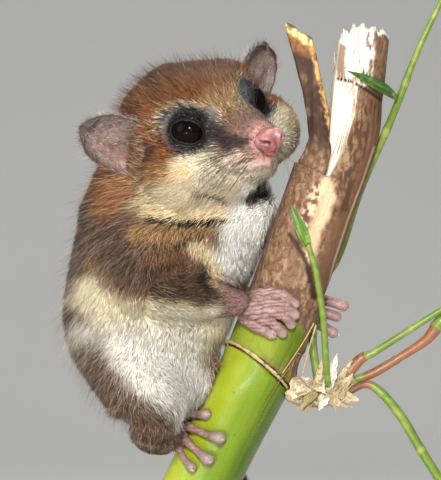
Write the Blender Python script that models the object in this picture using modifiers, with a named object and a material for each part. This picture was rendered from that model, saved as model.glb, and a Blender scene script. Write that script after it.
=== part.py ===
"""Monito del monte holding on to a cut bamboo culm, on a plain display stand.

The numbers below are millimetres; every mesh is scaled to metres once, at the end.
Origin: centre of the stand's underside.  +X right, +Y away from the viewer, +Z up.
"""
import math

import bmesh
import bpy
import numpy as np
from mathutils import Matrix, Vector
from mathutils.bvhtree import BVHTree

for old in list(bpy.data.objects):
    bpy.data.objects.remove(old, do_unlink=True)

GAP = 0.3            # clearance between neighbouring solids
CULM_R = 6.6         # radius of the bamboo culm

solids = bpy.data.collections.new("monito_del_monte")
bpy.context.scene.collection.children.link(solids)


def made(name, bm):
    """An object in the collection, from a bmesh."""
    mesh = bpy.data.meshes.new(name)
    bm.to_mesh(mesh)
    bm.free()
    obj = bpy.data.objects.new(name, mesh)
    solids.objects.link(obj)
    return obj


def baked(obj):
    """The object with its modifiers applied."""
    bpy.context.view_layer.update()
    deps = bpy.context.evaluated_depsgraph_get()
    mesh = bpy.data.meshes.new_from_object(obj.evaluated_get(deps))
    obj.modifiers.clear()
    old = obj.data
    obj.data = mesh
    bpy.data.meshes.remove(old)
    return obj


def copy_of(obj, name):
    bm = bmesh.new()
    bm.from_mesh(obj.data)
    return made(name, bm)


def line_through(points, per=8):
    """Catmull-Rom line through rows of numbers (place, then radii if given)."""
    p = np.array(points, float)
    p = np.vstack([2 * p[0] - p[1], p, 2 * p[-1] - p[-2]])
    out = []
    for i in range(1, len(p) - 2):
        a, b, c, d = p[i - 1], p[i], p[i + 1], p[i + 2]
        for t in np.linspace(0, 1, per, endpoint=False):
            out.append(0.5 * (2 * b + (c - a) * t + (2 * a - 5 * b + 4 * c - d) * t * t
                              + (3 * b - a - 3 * c + d) * t ** 3))
    out.append(p[-2])
    return np.array(out)


def ball(c, r, axes=None):
    """Placing matrix of a ball or ellipsoid."""
    r = (r, r, r) if isinstance(r, (int, float)) else r
    rot = Matrix(axes).transposed() if axes else Matrix.Identity(3)
    m = (rot @ Matrix.Diagonal(Vector(r))).to_4x4()
    m.translation = Vector(c)
    return m


def limb(points, per=6):
    """Balls threaded on a smooth line: rows of x, y, z, r."""
    return [ball(row[:3], float(row[3])) for row in line_through(points, per)]


def trunk(points, per=5):
    """Ellipsoids threaded on a smooth line: rows of x, y, z, rx, ry, rz."""
    return [ball(row[:3], tuple(float(v) for v in row[3:])) for row in line_through(points, per)]


def flesh(name, balls, voxel=0.45, rounds=6, level=3):
    """One closed body from overlapping balls."""
    bm = bmesh.new()
    for m in balls:
        bmesh.ops.create_icosphere(bm, subdivisions=level, radius=1.0, matrix=m)
    obj = made(name, bm)
    blend = obj.modifiers.new("blend", "REMESH")
    blend.mode = "VOXEL"
    blend.voxel_size = voxel
    soft = obj.modifiers.new("soften", "SMOOTH")
    soft.factor = 0.5
    soft.iterations = rounds
    return one_piece(baked(obj))


def one_piece(obj, near=None):
    """Keep the largest of the separate shells, or the one at a point, triangulated."""
    bm = bmesh.new()
    bm.from_mesh(obj.data)
    bmesh.ops.remove_doubles(bm, verts=bm.verts, dist=0.004)
    bmesh.ops.dissolve_degenerate(bm, edges=bm.edges, dist=0.004)
    bmesh.ops.triangulate(bm, faces=bm.faces)
    left = set(bm.faces)
    shells = []
    while left:
        seed = left.pop()
        shell, todo = {seed}, [seed]
        while todo:
            for edge in todo.pop().edges:
                for face in edge.link_faces:
                    if face in left:
                        left.remove(face)
                        shell.add(face)
                        todo.append(face)
        shells.append(shell)
    shells.sort(key=lambda s: -sum(f.calc_area() for f in s))
    if near is not None:
        shells = [s for s in shells if len(s) > 20]
        shells.sort(key=lambda s: min((v.co - near).length for f in s for v in f.verts))
        keep = shells[0]
        bmesh.ops.delete(bm, geom=[f for f in bm.faces if f not in keep], context="FACES")
        shells = shells[:1]
    for shell in shells[1:]:
        bmesh.ops.delete(bm, geom=list(shell), context="FACES")
    loose = [v for v in bm.verts if not v.link_faces]
    bmesh.ops.delete(bm, geom=loose, context="VERTS")
    bmesh.ops.recalc_face_normals(bm, faces=bm.faces)
    if bm.calc_volume(signed=True) < 0:
        bmesh.ops.reverse_faces(bm, faces=bm.faces)
    bm.to_mesh(obj.data)
    bm.free()
    return obj


def thin_out(obj, triangles):
    """Fewer triangles, most where the shape bends."""
    count = sum(len(p.vertices) - 2 for p in obj.data.polygons)
    if count > triangles:
        mod = obj.modifiers.new("thin", "DECIMATE")
        mod.ratio = triangles / count
        baked(obj)
    return one_piece(obj)


def cut(obj, tool, keep=False):
    """Take the tool's volume away."""
    mod = obj.modifiers.new("cut", "BOOLEAN")
    mod.operation = "DIFFERENCE"
    mod.solver = "EXACT"
    mod.object = tool
    baked(obj)
    if not keep:
        bpy.data.objects.remove(tool, do_unlink=True)
    return one_piece(obj)


def clear_of(obj, other, gap=GAP):
    """Cut the object clear of its neighbour, leaving the gap."""
    tool = copy_of(other, "swollen")
    grow = tool.modifiers.new("grow", "DISPLACE")
    grow.strength = gap
    grow.mid_level = 0.0
    return cut(obj, baked(tool))


def trim(obj, point, normal, size=90.0):
    """Cut away the side of a plane that its normal points to."""
    n = Vector(normal).normalized()
    m = n.to_track_quat("Z", "Y").to_matrix().to_4x4()
    m.translation = Vector(point) + n * size / 2
    bm = bmesh.new()
    bmesh.ops.create_cube(bm, size=size, matrix=m)
    return cut(obj, made("slab", bm))


def sweep(name, points, sides=8, per=6, flat=1.0, side_axis=(0, 1, 0)):
    """A round (or flattened) bar along a smooth line: rows of x, y, z, r."""
    rows = line_through(points, per)
    path, radii = rows[:, :3], rows[:, 3]
    tangent = np.gradient(path, axis=0)
    tangent /= np.linalg.norm(tangent, axis=1)[:, None]
    up = np.array(side_axis, float)
    bm = bmesh.new()
    rings = []
    for p, t, r in zip(path, tangent, radii):
        up = up - t * up.dot(t)
        up /= np.linalg.norm(up)
        across = np.cross(t, up)
        ring = []
        for k in range(sides):
            a = 2 * math.pi * k / sides
            ring.append(bm.verts.new(p + r * (math.cos(a) * across + flat * math.sin(a) * up)))
        rings.append(ring)
    for a, b in zip(rings, rings[1:]):
        for k in range(sides):
            j = (k + 1) % sides
            bm.faces.new((a[k], a[j], b[j], b[k]))
    bm.faces.new(rings[0][::-1])
    bm.faces.new(rings[-1])
    bmesh.ops.recalc_face_normals(bm, faces=bm.faces)
    return made(name, bm)


def prism(name, outline, near, far):
    """An outline in X and Z, drawn from depth `near` to depth `far` (numbers or functions)."""
    bm = bmesh.new()
    front, back = [], []
    for x, z in outline:
        front.append(bm.verts.new((x, near(x, z) if callable(near) else near, z)))
        back.append(bm.verts.new((x, far(x, z) if callable(far) else far, z)))
    bm.faces.new(front)
    bm.faces.new(back[::-1])
    for k in range(len(front)):
        j = (k + 1) % len(front)
        bm.faces.new((front[j], front[k], back[k], back[j]))
    bmesh.ops.triangulate(bm, faces=bm.faces)
    bmesh.ops.recalc_face_normals(bm, faces=bm.faces)
    return made(name, bm)


def remove(*tools):
    for tool in tools:
        bpy.data.objects.remove(tool, do_unlink=True)


# The culm: its middle line, from the cut lower end to above the broken top.
CULM = [(-19.2, 8.7, 18.0), (0.55, 2.8, 60.0), (10.8, -0.2, 81.5),
        (24.1, -5.3, 118.2), (26.1, -6.8, 129.3), (26.9, -7.9, 137.0), (27.8, -9.4, 147.5)]
culm_line = line_through(CULM, 16)


def axis_at(z):
    """Point and direction of the culm's middle line at a height."""
    i = int(np.clip(np.searchsorted(culm_line[:, 2], z), 1, len(culm_line) - 1))
    a, b = culm_line[i - 1], culm_line[i]
    t = (b - a) / np.linalg.norm(b - a)
    p = a + (b - a) * (z - a[2]) / (b[2] - a[2])
    return p, t


def on_culm(x, z, out, side=-1, radius=CULM_R):
    """Point a distance `out` off the culm's surface, on its front (-1) or back (+1)."""
    p, t = axis_at(z)
    dx = x - p[0]
    rho = radius + out
    a = 1 - t[1] ** 2
    b = -2 * dx * t[0] * t[1]
    c = dx * dx * (1 - t[0] ** 2) - rho * rho
    root = math.sqrt(max(b * b - 4 * a * c, (2 * a * 2.6) ** 2))
    return (x, p[1] + (-b + side * root) / (2 * a), z)


def gripping(rows, side=-1, radius=CULM_R):
    """Rows of x, z, out, r as rows of x, y, z, r on the culm."""
    return [on_culm(x, z, max(out, r + GAP + 0.05), side, radius) + (r,) for x, z, out, r in rows]


def culm_radius(z):
    """The culm swells a little under its node and narrows above it."""
    swell = 0.7 * math.exp(-((z - 77.0) / 5.5) ** 2)
    return CULM_R + swell


culm_rows = [tuple(axis_at(z)[0]) + (culm_radius(z),)
             for z in (18.2, 32.0, 46.0, 60.0, 68.0, 73.0, 77.0, 81.0, 85.0, 93.0, 104.0, 116.0,
                       124.0, 132.0, 147.0)]
culm_all = sweep("culm_all", culm_rows, sides=22, per=1)

# The ring scar of the node, a slanted plane higher at the front.
NODE_AT = Vector((10.9, 0.0, 79.9))
NODE_UP = Vector((0.80, 0.27, 1.0)).normalized()
ring_rows = []
d_axis = Vector(axis_at(80.0)[1])
e_one = d_axis.cross(Vector((0, 1, 0))).normalized()
e_two = d_axis.cross(e_one).normalized()
ring_mid = Vector(axis_at(79.9)[0])
bm = bmesh.new()
rings = []
for k in range(24):
    a = 2 * math.pi * k / 24
    out = math.cos(a) * e_one + math.sin(a) * e_two
    p = ring_mid + out * 7.15
    p = p - d_axis * ((p - NODE_AT).dot(NODE_UP) / d_axis.dot(NODE_UP))
    ring = []
    for j in range(5):
        b = 2 * math.pi * j / 5
        ring.append(bm.verts.new(p + out * 0.6 * math.cos(b) + d_axis * 0.55 * math.sin(b)))
    rings.append(ring)
for k in range(24):
    a, b = rings[k], rings[(k + 1) % 24]
    for j in range(5):
        i = (j + 1) % 5
        bm.faces.new((a[j], a[i], b[i], b[j]))
bmesh.ops.recalc_face_normals(bm, faces=bm.faces)
culm_scar = made("culm_scar", bm)

culm_lower = copy_of(culm_all, "culm_lower")
trim(culm_lower, NODE_AT - NODE_UP * GAP / 2, NODE_UP)
clear_of(culm_lower, culm_scar)
culm_upper = copy_of(culm_all, "culm_upper")
trim(culm_upper, NODE_AT + NODE_UP * GAP / 2, -NODE_UP)
clear_of(culm_upper, culm_scar)


def px(x, y):
    """Width and height of a point read off the picture, 5.5 pixels to the millimetre."""
    return ((x - 200) / 5.5, 60 + (480 - y) / 5.5)


# The broken top: the near left of the culm is torn away down to the pith.
def torn_face(x, z):
    p, t = axis_at(z)
    return p[1] - 4.6 - 0.50 * (x - p[0])


torn = [px(*q) for q in ((323, 177), (327, 180), (341, 150), (350, 120), (355, 77), (352, 10),
                         (290, 10), (290, 158), (298, 163), (312, 171))]
cut(culm_upper, prism("torn", torn, -40.0, torn_face))
gone = [px(*q) for q in ((270, 162), (297, 164), (312, 172), (323, 178), (326, 150), (331, 90),
                         (337, 45), (341, 0), (270, 0))]
cut(culm_upper, prism("gone", gone, -40.0, 40.0))
jagged = [px(*q) for q in ((330, 48), (337, 45), (340, 39), (344, 43), (350, 32), (354, 38),
                           (359, 34), (363, 40), (369, 37), (373, 43), (378, 39), (384, 45),
                           (392, 41), (392, 0), (330, 0))]
cut(culm_upper, prism("jagged", jagged, -40.0, 40.0))
slit = gripping([px(290, 213) + (0.1, 0.3), px(302, 240) + (0.0, 0.5), px(311, 268) + (0.0, 0.5),
                 px(318, 298) + (0.0, 0.4), px(314, 324) + (0.1, 0.25)])
cut(culm_upper, sweep("slit", slit, sides=4, per=2))

# The strip of wall that was peeled off, still rooted in the culm, leaning left.
strip = [px(*q) for q in ((283, 27), (290, 29), (300, 37), (310, 43), (314, 62), (322, 95),
                          (328, 122), (331, 145), (323, 175), (312, 169), (298, 161),
                          (303, 152), (307, 140), (305, 118), (300, 92), (293, 64), (286, 40))]


def strip_front(x, z):
    p = axis_at(z)[0]
    wall = p[1] - math.sqrt(max(CULM_R ** 2 - (x - p[0]) ** 2, 9.0))
    leaning = -9.6 - 0.05 * (z - 118) + 0.25 * abs(x - p[0] + 6.0)
    return wall + (leaning - wall) * min(1.0, max(0.0, (z - 115.5) / 9.0))


def strip_back(x, z):
    return strip_front(x, z) + 2.6


culm_splinter = prism("culm_splinter", strip, strip_front, strip_back)
edge = culm_splinter.modifiers.new("edge", "BEVEL")
edge.width = 0.45
edge.segments = 1
edge.angle_limit = math.radians(50)
edge.limit_method = "ANGLE"
baked(culm_splinter)
clear_of(culm_splinter, culm_upper)

# The branch base at the node, with its dry bracts, and the shoots that leave it.
base_balls = limb([(15.2, -1.5, 77.6, 2.6), (19.0, -2.6, 75.6, 2.3), (23.0, -3.0, 75.2, 1.7),
                   (26.0, -2.8, 76.4, 1.2)])
for tip, root in (((22.6, -5.4, 83.6), (21.0, -3.6, 77.2)), ((27.4, -4.4, 82.0), (24.0, -3.4, 77.0)),
                  ((18.4, -5.6, 72.6), (20.6, -4.0, 75.0)), ((27.6, -4.0, 73.4), (23.6, -3.4, 74.8))):
    base_balls += limb([root + (0.9,), tuple((np.array(root) + np.array(tip)) / 2) + (0.75,),
                        tip + (0.3,)], 6)
branch_base = flesh("branch_base", base_balls, voxel=0.3, rounds=2, level=2)
thin_out(branch_base, 280)
clear_of(branch_base, culm_lower)
clear_of(branch_base, culm_upper)
clear_of(branch_base, culm_scar)

shoot_up = sweep("shoot_up", [(23.0, -5.2, 77.6, 0.6), (22.5, -7.6, 82.0, 0.62),
                              (21.9, -9.2, 90.0, 0.6), (20.6, -11.0, 98.0, 0.55),
                              (19.7, -11.9, 101.0, 0.5), (19.2, -12.4, 102.8, 0.4)], sides=6, per=3)
stem_long = sweep("stem_long", [(21.4, 0.6, 78.2, 0.8), (20.6, 3.0, 86.0, 0.8),
                                (22.2, 3.6, 95.0, 0.78), (25.6, 2.6, 101.5, 0.76),
                                (29.1, -0.5, 112.7, 0.74), (33.6, -5.5, 123.6, 0.7),
                                (35.8, -9.0, 129.5, 0.66), (38.4, -10.5, 136.6, 0.58),
                                (42.4, -11.5, 145.3, 0.45), (43.2, -11.8, 147.0, 0.35)],
                  sides=6, per=3)
shoot_right_upper = sweep("shoot_right_upper", [(26.6, -3.4, 79.6, 1.15), (29.0, -3.6, 82.2, 0.95),
                                                (31.4, -3.8, 83.4, 0.68), (38.0, -4.2, 87.6, 0.6),
                                                (46.0, -4.6, 92.7, 0.5)], sides=6, per=3)
shoot_right_middle = sweep("shoot_right_middle", [(28.0, -1.2, 78.2, 0.7), (31.6, -1.4, 79.6, 0.85),
                                                  (36.6, -1.6, 82.6, 0.75), (41.0, -1.8, 85.6, 0.95),
                                                  (43.4, -1.8, 88.6, 1.25), (46.0, -1.8, 90.8, 1.2)],
                           sides=6, per=3)
shoot_lower_right = sweep("shoot_lower_right", [(26.4, -4.6, 76.2, 0.6), (30.6, -5.4, 77.6, 0.75),
                                                (35.6, -5.8, 72.6, 0.85), (39.6, -6.0, 66.0, 0.85),
                                                (45.6, -6.2, 56.5, 0.8)], sides=6, per=3)


def leaf(name, root, tip, width, bend, face=(0, -1, 0), thick=0.35):
    """A pointed blade with a fold along its middle, in one thin solid."""
    root, tip = Vector(root), Vector(tip)
    along = tip - root
    side = along.cross(Vector(face)).normalized()
    up = side.cross(along).normalized()
    bm = bmesh.new()
    n = 6
    rows = []
    for i in range(n + 1):
        t = i / n
        w = width / 2 * (math.sin(math.pi * min(1.0, 0.06 + 0.94 * t) ** 0.75) + 0.03)
        mid = root + along * t + up * bend * math.sin(math.pi * t)
        rows.append([bm.verts.new(mid - side * w), bm.verts.new(mid - up * w * 0.35),
                     bm.verts.new(mid + side * w)])
    for a, b in zip(rows, rows[1:]):
        for k in range(2):
            bm.faces.new((a[k], a[k + 1], b[k + 1], b[k]))
    obj = made(name, bm)
    mod = obj.modifiers.new("blade", "SOLIDIFY")
    mod.thickness = thick
    mod.offset = 0.0
    return one_piece(baked(obj))


leaf_up = leaf("leaf_up", (19.2, -12.5, 102.6), (16.1, -12.5, 109.9), 2.0, 0.5)
leaf_long = leaf("leaf_long", (35.0, -9.9, 128.6), (26.6, -15.6, 134.2), 2.2, 0.7, face=(0.2, -0.8, 0.5))
for stem in (shoot_up, stem_long, shoot_right_upper, shoot_right_middle, shoot_lower_right):
    one_piece(stem)
    clear_of(stem, branch_base)
for a, b in ((shoot_up, leaf_up), (stem_long, leaf_long), (stem_long, culm_upper),
             (stem_long, culm_scar), (shoot_up, culm_upper), (shoot_right_middle, shoot_right_upper),
             (shoot_lower_right, shoot_right_middle)):
    clear_of(a, b)

# The head, in its own directions: F forward along the snout, L to its left, U up.
HEAD_AT = Vector((-2.3, -6.0, 128.1))
HEAD_F = Vector((0.583, -0.757, -0.295)).normalized()
HEAD_L = Vector((0.792, 0.45, 0.411))
HEAD_L = (HEAD_L - HEAD_F * HEAD_L.dot(HEAD_F)).normalized()
HEAD_U = HEAD_F.cross(HEAD_L).normalized()
AXES = (tuple(HEAD_F), tuple(HEAD_L), tuple(HEAD_U))
EYE_R = 3.4


def head(f, l, u):
    return tuple(HEAD_AT + HEAD_F * f + HEAD_L * l + HEAD_U * u)


def head_limb(rows, per=6):
    return limb([head(f, l, u) + (r,) for f, l, u, r in rows], per)


skull = [ball(head(2.7, 0, -3.0), (14.6, 12.7, 11.5), AXES),
         ball(head(1.0, -8.0, -1.6), (9.0, 5.2, 7.8), AXES),
         ball(head(1.0, 8.0, -1.6), (9.0, 5.2, 7.8), AXES),
         ball(head(-2.6, 0, -5.2), (12.4, 12.4, 10.8), AXES),
         ball(head(9.0, 0, -9.0), (10.5, 9.5, 7.0), AXES)]
skull += head_limb([(9.0, 0, -1.6, 7.6), (14.0, 0, -1.4, 5.8), (19.6, 0, -0.9, 3.9),
                    (24.8, 0, -0.4, 2.3)])
skull += head_limb([(12.0, 0, -8.6, 5.6), (17.0, 0, -7.4, 3.9), (22.4, 0, -4.9, 1.5)])
for s in (-1, 1):
    skull += [ball(head(8.2, s * 9.2, -7.2), (7.8, 6.8, 7.1), AXES),
              ball(head(15.8, s * 3.6, -3.6), (4.8, 3.3, 3.0), AXES),
              ball(head(9.8, s * 6.3, 0.0), EYE_R + 0.7),
              ball(head(5.6, s * 8.6, -4.0), (6.0, 4.0, 5.0), AXES)]
    skull += head_limb([(23.2, s * 0.3, -4.3, 0.95), (21.2, s * 2.4, -5.0, 0.95),
                        (18.0, s * 4.2, -6.0, 0.95), (14.8, s * 6.4, -6.8, 0.9)])
neck_balls = trunk([(-2.0, -4.0, 122.0, 12.5, 11.5, 9.5), (-3.6, -2.2, 116.0, 14.6, 12.6, 10.5),
                    (-4.2, -1.2, 108.0, 18.2, 13.4, 11.5)])
trunk_balls = trunk([(-4.2, -1.2, 107.0, 18.2, 13.4, 11.5), (-8.2, 0.0, 95.0, 16.6, 14.6, 12.5),
                     (-9.8, 0.8, 87.0, 15.0, 14.2, 12.0), (-8.0, 1.2, 79.8, 11.2, 12.8, 11.0)])
trunk_balls += [ball((4.0, -0.6, 108.0), (11.5, 10.5, 9.5)), ball((-1.5, 0.5, 80.5), (7.0, 8.5, 8.5))]
body = flesh("body", skull + neck_balls + trunk_balls, voxel=0.5, rounds=5)
thin_out(body, 3300)
clear_of(body, culm_all, 0.5)
clear_of(body, culm_splinter, 0.5)

# The eyes, the almond openings between the lids, and the sockets behind them.
eyes = []
for s, name in ((-1, "eye_right"), (1, "eye_left")):
    at = head(9.8, s * 6.3, 0.0)
    look = (HEAD_F * 0.66 + HEAD_L * 0.64 * s + HEAD_U * 0.38).normalized()
    along = (HEAD_F * 0.86 - HEAD_L * 0.46 * s - HEAD_U * 0.12)
    along = (along - look * along.dot(look)).normalized()
    tall = look.cross(along)
    bm = bmesh.new()
    bmesh.ops.create_uvsphere(bm, u_segments=14, v_segments=9, radius=EYE_R,
                              matrix=Matrix.Translation(at))
    eye = made(name, bm)
    eyes.append(eye)
    bm = bmesh.new()
    m = ball(Vector(at) + look * EYE_R, (3.45, 2.5, 4.4), (tuple(along), tuple(tall), tuple(look)))
    bmesh.ops.create_uvsphere(bm, u_segments=14, v_segments=8, radius=1.0, matrix=m)
    cut(body, made("opening", bm))
    bm = bmesh.new()
    bmesh.ops.create_uvsphere(bm, u_segments=14, v_segments=9, radius=EYE_R + GAP,
                              matrix=Matrix.Translation(at))
    cut(body, made("socket", bm))

# The line of the mouth, a groove pressed into the muzzle on both sides.
tree = BVHTree.FromPolygons([v.co for v in body.data.vertices],
                            [tuple(p.vertices) for p in body.data.polygons])
mouth = []
for l_at, f_at, u_at in ((-7.0, 13.4, -5.9), (-5.2, 16.2, -5.2), (-3.6, 19.0, -4.5),
                         (-1.9, 21.8, -3.7), (0.0, 24.0, -3.1), (1.9, 21.8, -3.7),
                         (3.6, 19.0, -4.5), (5.2, 16.2, -5.2), (7.0, 13.4, -5.9)):
    start = Vector(head(f_at + 0.35 * (14 - abs(l_at)), l_at * 2.6, u_at))
    goal = Vector(head(f_at - 3.0, l_at * 0.2, u_at))
    hit = tree.ray_cast(start, (goal - start).normalized())[0]
    mouth.append(tuple(hit) + (0.42 if abs(l_at) < 6.0 else 0.16,))
cut(body, sweep("mouth", mouth, sides=5, per=2, side_axis=tuple(HEAD_U)))

# Nose: the pad, with two nostrils and the groove below.
nose = flesh("nose", [ball(head(24.9, 0, -0.2), (2.0, 2.35, 2.2), AXES),
                      ball(head(25.3, 1.15, 0.4), (1.5, 1.4, 1.6), AXES),
                      ball(head(25.3, -1.15, 0.4), (1.5, 1.4, 1.6), AXES),
                      ball(head(24.6, 0, -2.0), (1.3, 1.5, 1.3), AXES)], voxel=0.28, rounds=2)
thin_out(nose, 220)
for s in (-1, 1):
    pit = sweep("nostril", [head(27.6, s * 1.3, 0.4) + (0.45,), head(26.4, s * 1.55, 0.6) + (0.45,),
                            head(25.6, s * 2.7, 1.1) + (0.32,)], sides=6, per=2,
                side_axis=tuple(HEAD_U))
    cut(nose, pit)
groove = sweep("philtrum", [head(27.3, 0, 1.0) + (0.22,), head(27.0, 0, -1.2) + (0.3,),
                            head(26.2, 0, -3.6) + (0.3,)], sides=6, per=2,
               side_axis=tuple(HEAD_L))
cut(nose, groove)
trim(nose, head(23.7, 0, 0), -HEAD_F, 30)

# Ears: thin round cups with a rolled rim.
ears = []
for s, name in ((-1, "ear_right"), (1, "ear_left")):
    root = Vector(head(0.2, s * 11.7, -4.6))
    along = HEAD_F * -2.6 + HEAD_L * 8.6 * s + HEAD_U * 7.6
    length = along.length
    along = along.normalized()
    face = HEAD_F * 0.75 + HEAD_L * 0.5 * s + HEAD_U * 0.25
    face = (face - along * face.dot(along)).normalized()
    across = along.cross(face)
    bm = bmesh.new()
    rows, cols = 7, 8
    grid = []
    for i in range(rows + 1):
        v = i / rows
        half = 4.0 + 0.9 * v / 0.4 if v < 0.4 else 4.9 * math.sqrt(1 - ((v - 0.4) / 0.615) ** 2)
        line = []
        for j in range(cols + 1):
            c = -1 + 2 * j / cols
            deep = 2.3 * (1 - c * c) * (1 - 0.75 * v * v)
            roll = 0.5 * abs(c) ** 4 - 0.5 * v ** 5
            p = root + along * length * v * (1 - 0.10 * c * c) + across * half * c
            line.append(bm.verts.new(p - face * (deep - roll)))
        grid.append(line)
    for i in range(rows):
        for j in range(cols):
            bm.faces.new((grid[i][j], grid[i][j + 1], grid[i + 1][j + 1], grid[i + 1][j]))
    ear = made(name, bm)
    shell = ear.modifiers.new("shell", "SOLIDIFY")
    shell.thickness = 0.75
    shell.offset = 0.0
    baked(ear)
    one_piece(ear)
    clear_of(ear, body)
    ears.append(ear)

# Head, neck and trunk are parted by planes, the nose by a plane across the snout.
NECK_TOP = (Vector((-4.5, -3.0, 117.6)), Vector((0.16, -0.42, 0.90)))
NECK_LOW = (Vector((-4.5, -1.5, 110.0)), Vector((0.10, -0.18, 0.98)))


def parted(name, keep_above=None, keep_below=None):
    piece = copy_of(body, name)
    if keep_above:
        trim(piece, keep_above[0] + keep_above[1].normalized() * GAP / 2, -keep_above[1])
    if keep_below:
        trim(piece, keep_below[0] - keep_below[1].normalized() * GAP / 2, keep_below[1])
    return piece


head_node = parted("head", keep_above=NECK_TOP)
neck = parted("neck", keep_above=NECK_LOW, keep_below=NECK_TOP)
torso = parted("torso", keep_below=NECK_LOW)
clear_of(head_node, nose)
clear_of(torso, culm_scar)

# Arms.
arm_line = {
    "right": [(-6.0, -8.5, 106.5, 7.6), (-9.0, -11.5, 100.5, 6.8), (-10.0, -13.4, 95.8, 5.6),
              (-5.5, -13.4, 94.2, 4.6), (0.0, -12.4, 93.4, 3.9), (4.4, -10.8, 92.7, 3.0),
              (7.4, -9.9, 92.4, 2.3)],
    "left": [(-4.0, 8.0, 106.5, 7.4), (-6.0, 12.0, 100.5, 6.4), (-6.0, 14.0, 96.0, 5.2),
             (-1.5, 13.0, 94.2, 4.3), (3.0, 11.0, 93.4, 3.6), (6.6, 8.6, 92.8, 2.9),
             (9.4, 7.4, 92.4, 2.3)]}
hand_rows = {
    "right": [[(7.6, 91.9, 1.9, 1.9), (9.0, 91.6, 1.7, 2.2), (10.2, 91.2, 1.5, 2.1)],
              [(8.8, 93.2, 1.5, 1.2), (11.8, 94.4, 2.2, 1.1), (14.8, 94.0, 1.9, 1.02), (16.8, 92.4, 1.0, 0.92)],
              [(9.2, 92.2, 1.6, 1.2), (12.5, 92.8, 2.5, 1.15), (15.4, 91.9, 2.0, 1.05), (16.9, 90.4, 1.0, 0.95)],
              [(9.2, 91.0, 1.6, 1.2), (12.4, 91.0, 2.5, 1.15), (15.1, 90.0, 2.0, 1.05), (16.2, 88.7, 1.0, 0.95)],
              [(8.6, 89.9, 1.6, 1.15), (11.4, 89.4, 2.3, 1.1), (13.7, 88.3, 1.8, 1.0), (14.7, 87.1, 0.9, 0.92)],
              [(7.8, 89.8, 1.4, 1.15), (9.6, 88.4, 1.9, 1.05), (11.4, 87.5, 1.6, 0.95), (12.7, 86.8, 0.9, 0.88)]],
    "left": [[(11.6, 92.2, 1.9, 2.1), (13.4, 91.6, 1.7, 2.2), (14.8, 91.0, 1.5, 1.9)]]}
left_fingers = [[(15.0, 5.6, 92.2, 1.05), (18.6, 5.5, 92.6, 1.0), (22.6, 5.0, 92.5, 0.9), (26.4, 4.4, 91.5, 0.7)],
                [(15.4, 5.7, 91.0, 1.05), (18.4, 5.9, 90.8, 1.0), (21.8, 5.4, 90.4, 0.9), (25.0, 4.8, 89.5, 0.7)],
                [(15.2, 5.7, 89.8, 1.05), (17.8, 5.9, 89.2, 1.0), (21.0, 5.2, 88.4, 0.9), (24.4, 4.6, 86.6, 0.7)],
                [(13.8, 6.2, 89.6, 1.05), (15.6, 6.8, 87.6, 0.98), (17.2, 6.2, 85.8, 0.86), (18.4, 5.2, 84.4, 0.7)],
                [(13.6, 6.0, 92.8, 1.05), (15.6, 6.6, 94.6, 0.98), (17.8, 6.2, 95.9, 0.86), (19.8, 5.2, 96.4, 0.7)]]


def claw(chain, drop):
    """A short curved claw past the last joint of a digit, bending towards `drop`."""
    a, b = np.array(chain[-2][:3]), np.array(chain[-1][:3])
    t = (b - a) / np.linalg.norm(b - a)
    drop = np.array(drop, float)
    p1 = b + t * 0.75 + drop * 0.15
    p2 = b + t * 1.35 + drop * 0.65
    return limb([tuple(b) + (0.45,), tuple(p1) + (0.36,), tuple(p2) + (0.2,)], 4)


nodes = {}
for side, sign in (("right", -1), ("left", 1)):
    line = arm_line[side]
    balls = limb(line[:3], 6)
    upper = flesh("arm_%s_upper" % side, balls, voxel=0.45, rounds=4)
    fore = flesh("arm_%s_fore" % side, limb(line[2:], 6), voxel=0.4, rounds=3)
    thin_out(upper, 200)
    thin_out(fore, 210)
    elbow = Vector(line[2][:3])
    way = (Vector(line[3][:3]) - Vector(line[1][:3])).normalized()
    trim(upper, elbow - way * GAP / 2, way)
    trim(fore, elbow + way * GAP / 2, -way)
    digits = [gripping(rows, sign) for rows in hand_rows[side]]
    if side == "left":
        digits += left_fingers
    inward = (Vector(axis_at(91.0)[0]) - Vector(digits[1][-1][:3]))
    balls = limb(digits[0], 4)
    for chain in digits[1:]:
        balls += limb(chain, 6)
        inward = Vector(axis_at(chain[-1][2])[0]) - Vector(chain[-1][:3])
        balls += claw(chain, inward.normalized())
    hand = flesh("hand_%s" % side, balls, voxel=0.26, rounds=2, level=2)
    thin_out(hand, 740)
    nodes[side] = [upper, fore, hand]

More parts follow.
